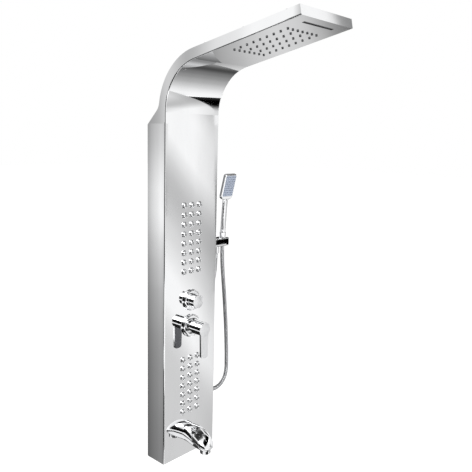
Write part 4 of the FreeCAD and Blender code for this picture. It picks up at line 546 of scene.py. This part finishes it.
# %% The hoses inside
INNER_ROUTES = {
    "rain_hose": [(-0.0156, -0.057, -0.4326), (-0.0226, -0.057, -0.4181), (-0.030, -0.046, -0.3849),
                  (-0.030, -0.046, -0.1511), (-0.030, -0.0643, -0.0611), (-0.030, -0.0642, 0.1460),
                  (-0.030, -0.0963, 0.2116), (-0.030, -0.1540, 0.2565), (-0.030, -0.2741, 0.2759)],
    "waterfall_hose": [(-0.0351, -0.057, -0.457), (-0.0507, -0.057, -0.4534),
                       (-0.100, -0.046, -0.3849), (-0.100, -0.046, -0.1511),
                       (-0.100, -0.0643, -0.0611), (-0.100, -0.0642, 0.1460),
                       (-0.100, -0.0963, 0.2116), (-0.100, -0.1540, 0.2565),
                       (-0.100, -0.4875, 0.3205), (-0.100, -0.5159, 0.3264),
                       (-0.071, -0.5159, 0.3264)],
    "upper_jet_hose": [(0.0156, -0.057, -0.4326), (0.0226, -0.057, -0.4181),
                       (0.034, -0.0693, -0.4059), (0.034, -0.0693, -0.3899)],
    "lower_jet_hose": [(-0.0281, -0.057, -0.4874), (-0.0407, -0.057, -0.4974),
                       (-0.092, -0.057, -0.549), (-0.092, -0.0693, -0.636),
                       (-0.092, -0.0693, -0.665), (-0.053, -0.0693, -0.665)],
    "spout_hose": [(0.0281, -0.057, -0.4874), (0.0407, -0.057, -0.4974), (0.078, -0.057, -0.549),
                   (0.078, -0.046, -0.665), (0.0, -0.038, -0.829), (0.0, -0.038, -0.889)],
    "handset_hose": [(0.0351, -0.057, -0.457), (0.0624, -0.057, -0.4508), (0.062, -0.050, -0.3705),
                     (0.062, -0.050, -0.328), (0.062, -0.050, -0.3005), (0.090, -0.050, -0.3005)],
}
INNER_RADIUS = 0.006
INNER_STEP = 0.004
FEWEST_STEPS = 24

for node, points in INNER_ROUTES.items():
    line, _, length = hose_line(node, points)
    steps = max(FEWEST_STEPS, round(length / INNER_STEP))
    hose = run_tree("rubber_" + node, line, hose_tree,
                    {"Radius": INNER_RADIUS, "Rib Depth": 0.0, "Ribs": 1, "Steps": steps,
                     "Sides": HOSE_SIDES, "Smooth Share": 1.0, "Finish": black_rubber})
    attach(hose, "panel")
    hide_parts(node)

# %% [markdown]
# The studio is a wide white floor, a white world and three soft lamps. A mirror shows only what
# stands round it, so a white room would make it vanish. Photographers put grey and black cards round
# shiny objects. Here the cards are seen only in reflections.

# %% World and floor
def mirrors_and_camera(tree):
    """1 for what the camera, metal and glass show, and 0 for light that falls on matt parts."""
    rays = tree.nodes.new("ShaderNodeLightPath").outputs
    seen = add_node(tree, "ShaderNodeMath", {0: rays["Is Camera Ray"], 1: rays["Is Glossy Ray"]},
                    operation="MAXIMUM")
    return add_node(tree, "ShaderNodeMath", {0: seen.outputs[0], 1: rays["Is Transmission Ray"]},
                    operation="MAXIMUM").outputs[0]


WORLD_LIGHT = 0.55
world = bpy.data.worlds.new("studio")
scene.world = world
world.use_nodes = True
tree = world.node_tree
tree.nodes.clear()
strength = between(tree, mirrors_and_camera(tree), WORLD_LIGHT, 1.0)
background = add_node(tree, "ShaderNodeBackground", {"Color": grey(1.0), "Strength": strength})
tree.links.new(background.outputs[0], tree.nodes.new("ShaderNodeOutputWorld").inputs[0])

FLOOR_HEIGHT = -1.9
FLOOR_SIDE = 60.0
FLOOR_GLOW = 0.62
FLOOR_GREY = 0.8


def stage_card(name, corner, across, up):
    """A rectangle for the studio. Its own X runs across and its own Y up, from its corner."""
    across, up = Vector(across), Vector(up)
    width, height = across.length, up.length
    mesh = bpy.data.meshes.new(name)
    mesh.from_pydata([(0, 0, 0), (width, 0, 0), (width, height, 0), (0, height, 0)], [],
                     [(0, 1, 2, 3)])
    item = bpy.data.objects.new(name, mesh)
    axes = Matrix((across.normalized(), up.normalized(), across.cross(up).normalized()))
    item.matrix_world = Matrix.Translation(corner) @ axes.transposed().to_4x4()
    scene.collection.objects.link(item)
    return item


floor = stage_card("floor", (-FLOOR_SIDE / 2, -FLOOR_SIDE / 2, FLOOR_HEIGHT), (FLOOR_SIDE, 0, 0),
                   (0, FLOOR_SIDE, 0))
material = bpy.data.materials.new("studio_floor")
material.use_nodes = True
tree = material.node_tree
tree.nodes.clear()
glow_share = between(tree, mirrors_and_camera(tree), 0.0, FLOOR_GLOW)
matt = add_node(tree, "ShaderNodeBsdfDiffuse", {"Color": grey(FLOOR_GREY)})
glow = add_node(tree, "ShaderNodeEmission", {"Color": grey(1.0), "Strength": glow_share})
joined = add_node(tree, "ShaderNodeAddShader", {0: matt.outputs[0], 1: glow.outputs[0]})
tree.links.new(joined.outputs[0], tree.nodes.new("ShaderNodeOutputMaterial").inputs[0])
give_finish(floor, material)
print("floor at", FLOOR_HEIGHT)

# %% [markdown]
# Three area lamps give the matt parts their shape: a large key from the front left, a fill from the
# right and a top light. Their sizes are large, so that their reflections are soft.

# %% Lamps
def lamp(name, place, aim, size, power):
    data = bpy.data.lights.new(name, "AREA")
    data.shape = "SQUARE"
    data.size = size
    data.energy = power
    item = bpy.data.objects.new(name, data)
    item.location = place
    item.rotation_euler = (Vector(aim) - Vector(place)).to_track_quat("-Z", "Y").to_euler()
    scene.collection.objects.link(item)


MIDDLE = (0.0, -0.1, -0.35)
lamp("key", (-1.6, -3.2, 2.0), MIDDLE, 1.8, 60)
lamp("fill", (2.8, -2.2, 1.4), MIDDLE, 1.6, 22)
lamp("top", (0.2, -0.6, 3.0), MIDDLE, 1.6, 26)
print("lamps:", len(bpy.data.lights))

# %% [markdown]
# A mirror shows only what stands in front of it. A line of sight from the camera meets the front of
# the column and goes on to the right, and from the side wall it goes on to the left and behind. So
# each flat face gets a card of its own there, shaded between grey and white. They were placed for
# the photographer's view. The cards show in mirrors only: they cast no light and no shadow.

# %% Helper: a shaded card
def stop_ramp(tree, value, stops):
    """A smooth curve through stops of (metres, grey)."""
    first, last = stops[0][0], stops[-1][0]
    share = add_node(tree, "ShaderNodeMapRange", {"Value": value, "From Min": first,
                                                  "From Max": last}).outputs[0]
    ramp = add_node(tree, "ShaderNodeValToRGB", {0: share})
    ramp.color_ramp.interpolation = "CARDINAL"
    while len(ramp.color_ramp.elements) < len(stops):
        ramp.color_ramp.elements.new(0.5)
    for element, (metres, shade) in zip(ramp.color_ramp.elements, stops):
        element.position = (metres - first) / (last - first)
        element.color = grey(shade)
    return ramp.outputs[0]


def shaded_card(name, corner, across, up, stops, lean=0.0, side_stops=None):
    """A card that only mirrors show. Stops are (metres up the card, grey). A lean shifts the stops
    by that much for each metre across, and side stops are (metres across, share of the grey)."""
    item = stage_card(name, corner, across, up)
    item.visible_camera = False
    item.visible_diffuse = False
    item.visible_shadow = False
    item.visible_transmission = False
    material = bpy.data.materials.new(name)
    material.use_nodes = True
    tree = material.node_tree
    tree.nodes.clear()
    place = tree.nodes.new("ShaderNodeTexCoord").outputs["Object"]
    parts = add_node(tree, "ShaderNodeSeparateXYZ", {0: place}).outputs
    leaning = add_node(tree, "ShaderNodeMath", {0: parts["X"], 1: lean, 2: parts["Y"]},
                       operation="MULTIPLY_ADD").outputs[0]
    shade = stop_ramp(tree, leaning, stops)
    if side_stops:
        shade = add_node(tree, "ShaderNodeMath",
                         {0: shade, 1: stop_ramp(tree, parts["X"], side_stops)},
                         operation="MULTIPLY").outputs[0]
    glow = add_node(tree, "ShaderNodeEmission", {"Color": grey(1.0), "Strength": shade})
    tree.links.new(glow.outputs[0], tree.nodes.new("ShaderNodeOutputMaterial").inputs[0])
    give_finish(item, material)


# %% Cards for the flat faces
FRONT_MIDDLE = Vector((0.0, -0.079, 0.0))
GLANCE = Vector((0.682, -0.731, 0.0))
BESIDE = Vector((0.731, 0.682, 0.0))
front_foot = FRONT_MIDDLE + GLANCE * 1.5 - BESIDE * 0.175 + Vector((0, 0, -1.86))
shaded_card("front_card", front_foot, BESIDE * 0.36, GLANCE * 1.5 + Vector((0, 0, 2.21)),
            [(0.37, 0.66), (0.72, 0.68), (0.87, 0.8), (1.02, 1.0), (1.17, 1.03), (1.32, 0.93),
             (1.47, 0.8), (1.62, 0.7), (1.77, 0.6), (1.9, 0.56), (2.02, 0.62), (2.15, 0.77),
             (2.29, 0.95), (2.44, 1.06), (2.62, 1.04), (2.9, 0.88), (3.1, 0.6)], lean=1.55,
            side_stops=[(0.0, 1.07), (0.12, 1.04), (0.24, 0.97), (0.36, 0.82)])
shaded_card("foot_card", front_foot - GLANCE * 0.45 - BESIDE * 0.02, BESIDE * 0.38, GLANCE * 0.45,
            [(0.0, 0.55), (0.45, 0.66)])
shaded_card("side_card", (-1.0, 0.3, -1.88), (0, 0.95, 0), (0, 0, 1.98),
            [(0.0, 0.24), (0.4, 0.28), (0.84, 0.37), (1.1, 0.52), (1.26, 0.66), (1.39, 0.84),
             (1.53, 1.0), (1.67, 0.97), (1.83, 0.78), (1.98, 0.66)],
            side_stops=[(0.0, 0.3), (0.6, 0.34), (0.645, 0.4), (0.665, 1.0), (0.71, 0.9),
                        (0.74, 0.8), (0.77, 0.66), (0.79, 0.52), (0.95, 0.45)])
shaded_card("head_side_card", (-1.0, 0.0, 0.1), (0, 1.25, 0), (0, 0, 0.8),
            [(0.0, 1.0), (0.8, 1.0)],
            side_stops=[(0.0, 0.3), (0.11, 0.5), (0.17, 1.08), (0.3, 1.08), (0.45, 0.9),
                        (0.62, 0.76), (0.78, 0.48), (0.93, 0.66), (1.0, 0.5), (1.09, 0.36),
                        (1.25, 0.34)])
shaded_card("underside_card", (1.2, -0.25, -0.62), (0, 1.5, 0), (0, 0, 0.5),
            [(0.0, 1.0), (0.5, 1.0)],
            side_stops=[(0.0, 0.1), (0.26, 0.2), (0.36, 0.4), (0.46, 0.6), (0.6, 0.7), (0.72, 0.67),
                        (0.88, 0.54), (1.05, 0.38), (1.22, 0.23), (1.5, 0.15)])
shaded_card("tip_card", (1.2, -1.6, 0.45), (0, 0.8, 0), (0, 0, 1.0),
            [(0.0, 1.0), (1.0, 1.0)],
            side_stops=[(0.0, 1.05), (0.36, 1.03), (0.42, 0.93), (0.445, 0.72), (0.47, 0.38),
                        (0.52, 0.28), (0.8, 0.25)])

# %% [markdown]
# The arch is a concave mirror, so it gathers a wide strip of the room on the right into a small
# picture. A long card on the floor there runs from white in front to black at the back, and gives
# the arch its soft fall from light to dark, and a dark card that stands over it adds a black wedge.
# Small cards stand near the spout, the hand shower and its holder. Large dark cards all round give
# the domes and the knobs their dark crescents.

# %% Cards for the curved faces
shaded_card("arch_card", (1.35, -2.75, -1.88), (2.4, 0, 0), (0, 5.2, 0),
            [(0.0, 1.0), (0.6, 0.98), (1.25, 0.78), (1.8, 0.53), (2.3, 0.36), (2.7, 0.25),
             (3.1, 0.16), (3.55, 0.07), (4.15, 0.2), (4.8, 0.32), (5.2, 0.34)])
shaded_card("wedge_card", (1.9, -2.44, -1.27), (0.72, 0.65, 0), (0, 0, 1.4),
            [(0.0, 0.05), (0.05, 0.02), (0.7, 0.02), (0.9, 0.3), (1.15, 0.7), (1.4, 0.78)])
shaded_card("spout_card", (-0.34, -0.42, -1.13), (0.36, 0, 0), (0, 0.32, 0),
            [(0.0, 0.9), (0.1, 1.0), (0.32, 1.0)])
shaded_card("handset_card", (0.35, 0.03, -0.95), (0, 0.37, 0), (0, 0, 0.73),
            [(0.0, 0.2), (0.05, 0.02), (0.73, 0.02)])
shaded_card("holder_card", (0.335, -0.3, -0.48), (0.085, 0, 0), (0, 0, 0.11),
            [(0.0, 0.3), (0.05, 0.5), (0.11, 0.8)])
shaded_card("camera_side_card", (-3.4, -1.5, -1.25), (2.5, -2.2, 0), (0, 0, 2.15),
            [(0.0, 0.3), (0.12, 0.02), (1.5, 0.03), (1.9, 0.1), (2.15, 0.5)])
shaded_card("left_card", (-3.0, -1.3, -1.7), (0, 2.6, 0), (0, 0, 3.0),
            [(0.0, 0.02), (1.2, 0.04), (2.4, 0.06), (3.0, 0.2)])
shaded_card("front_floor_card", (-3.0, -2.5, -1.87), (3.7, 0, 0), (0, 2.3, 0),
            [(0.0, 0.2), (0.4, 0.03), (1.9, 0.04), (2.3, 0.1)])
shaded_card("back_floor_card", (-3.0, -0.2, -1.87), (3.9, 0, 0), (0, 3.5, 0),
            [(0.0, 0.1), (0.4, 0.04), (3.5, 0.04)])
shaded_card("back_right_card", (2.4, 0.7, -0.95), (0.7, 2.4, 0), (0, 0, 2.4),
            [(0.0, 0.1), (0.4, 0.03), (2.0, 0.03), (2.4, 0.4)])
shaded_card("upper_front_card", (0.0, -3.1, 0.45), (3.4, 2.2, 0), (0, 0, 1.5),
            [(0.0, 0.5), (0.1, 0.03), (1.1, 0.03), (1.5, 0.3)])
shaded_card("ceiling_card", (-2.4, -1.9, 1.9), (5.4, 0, 0), (0, 4.4, 0),
            [(0.0, 0.5), (0.3, 0.12), (1.4, 0.04), (2.0, 0.15), (2.8, 0.4), (3.6, 0.6),
             (4.4, 0.8)])

# %% [markdown]
# Last, the view settings.

# %% Finish
scene.view_settings.view_transform = "Standard"
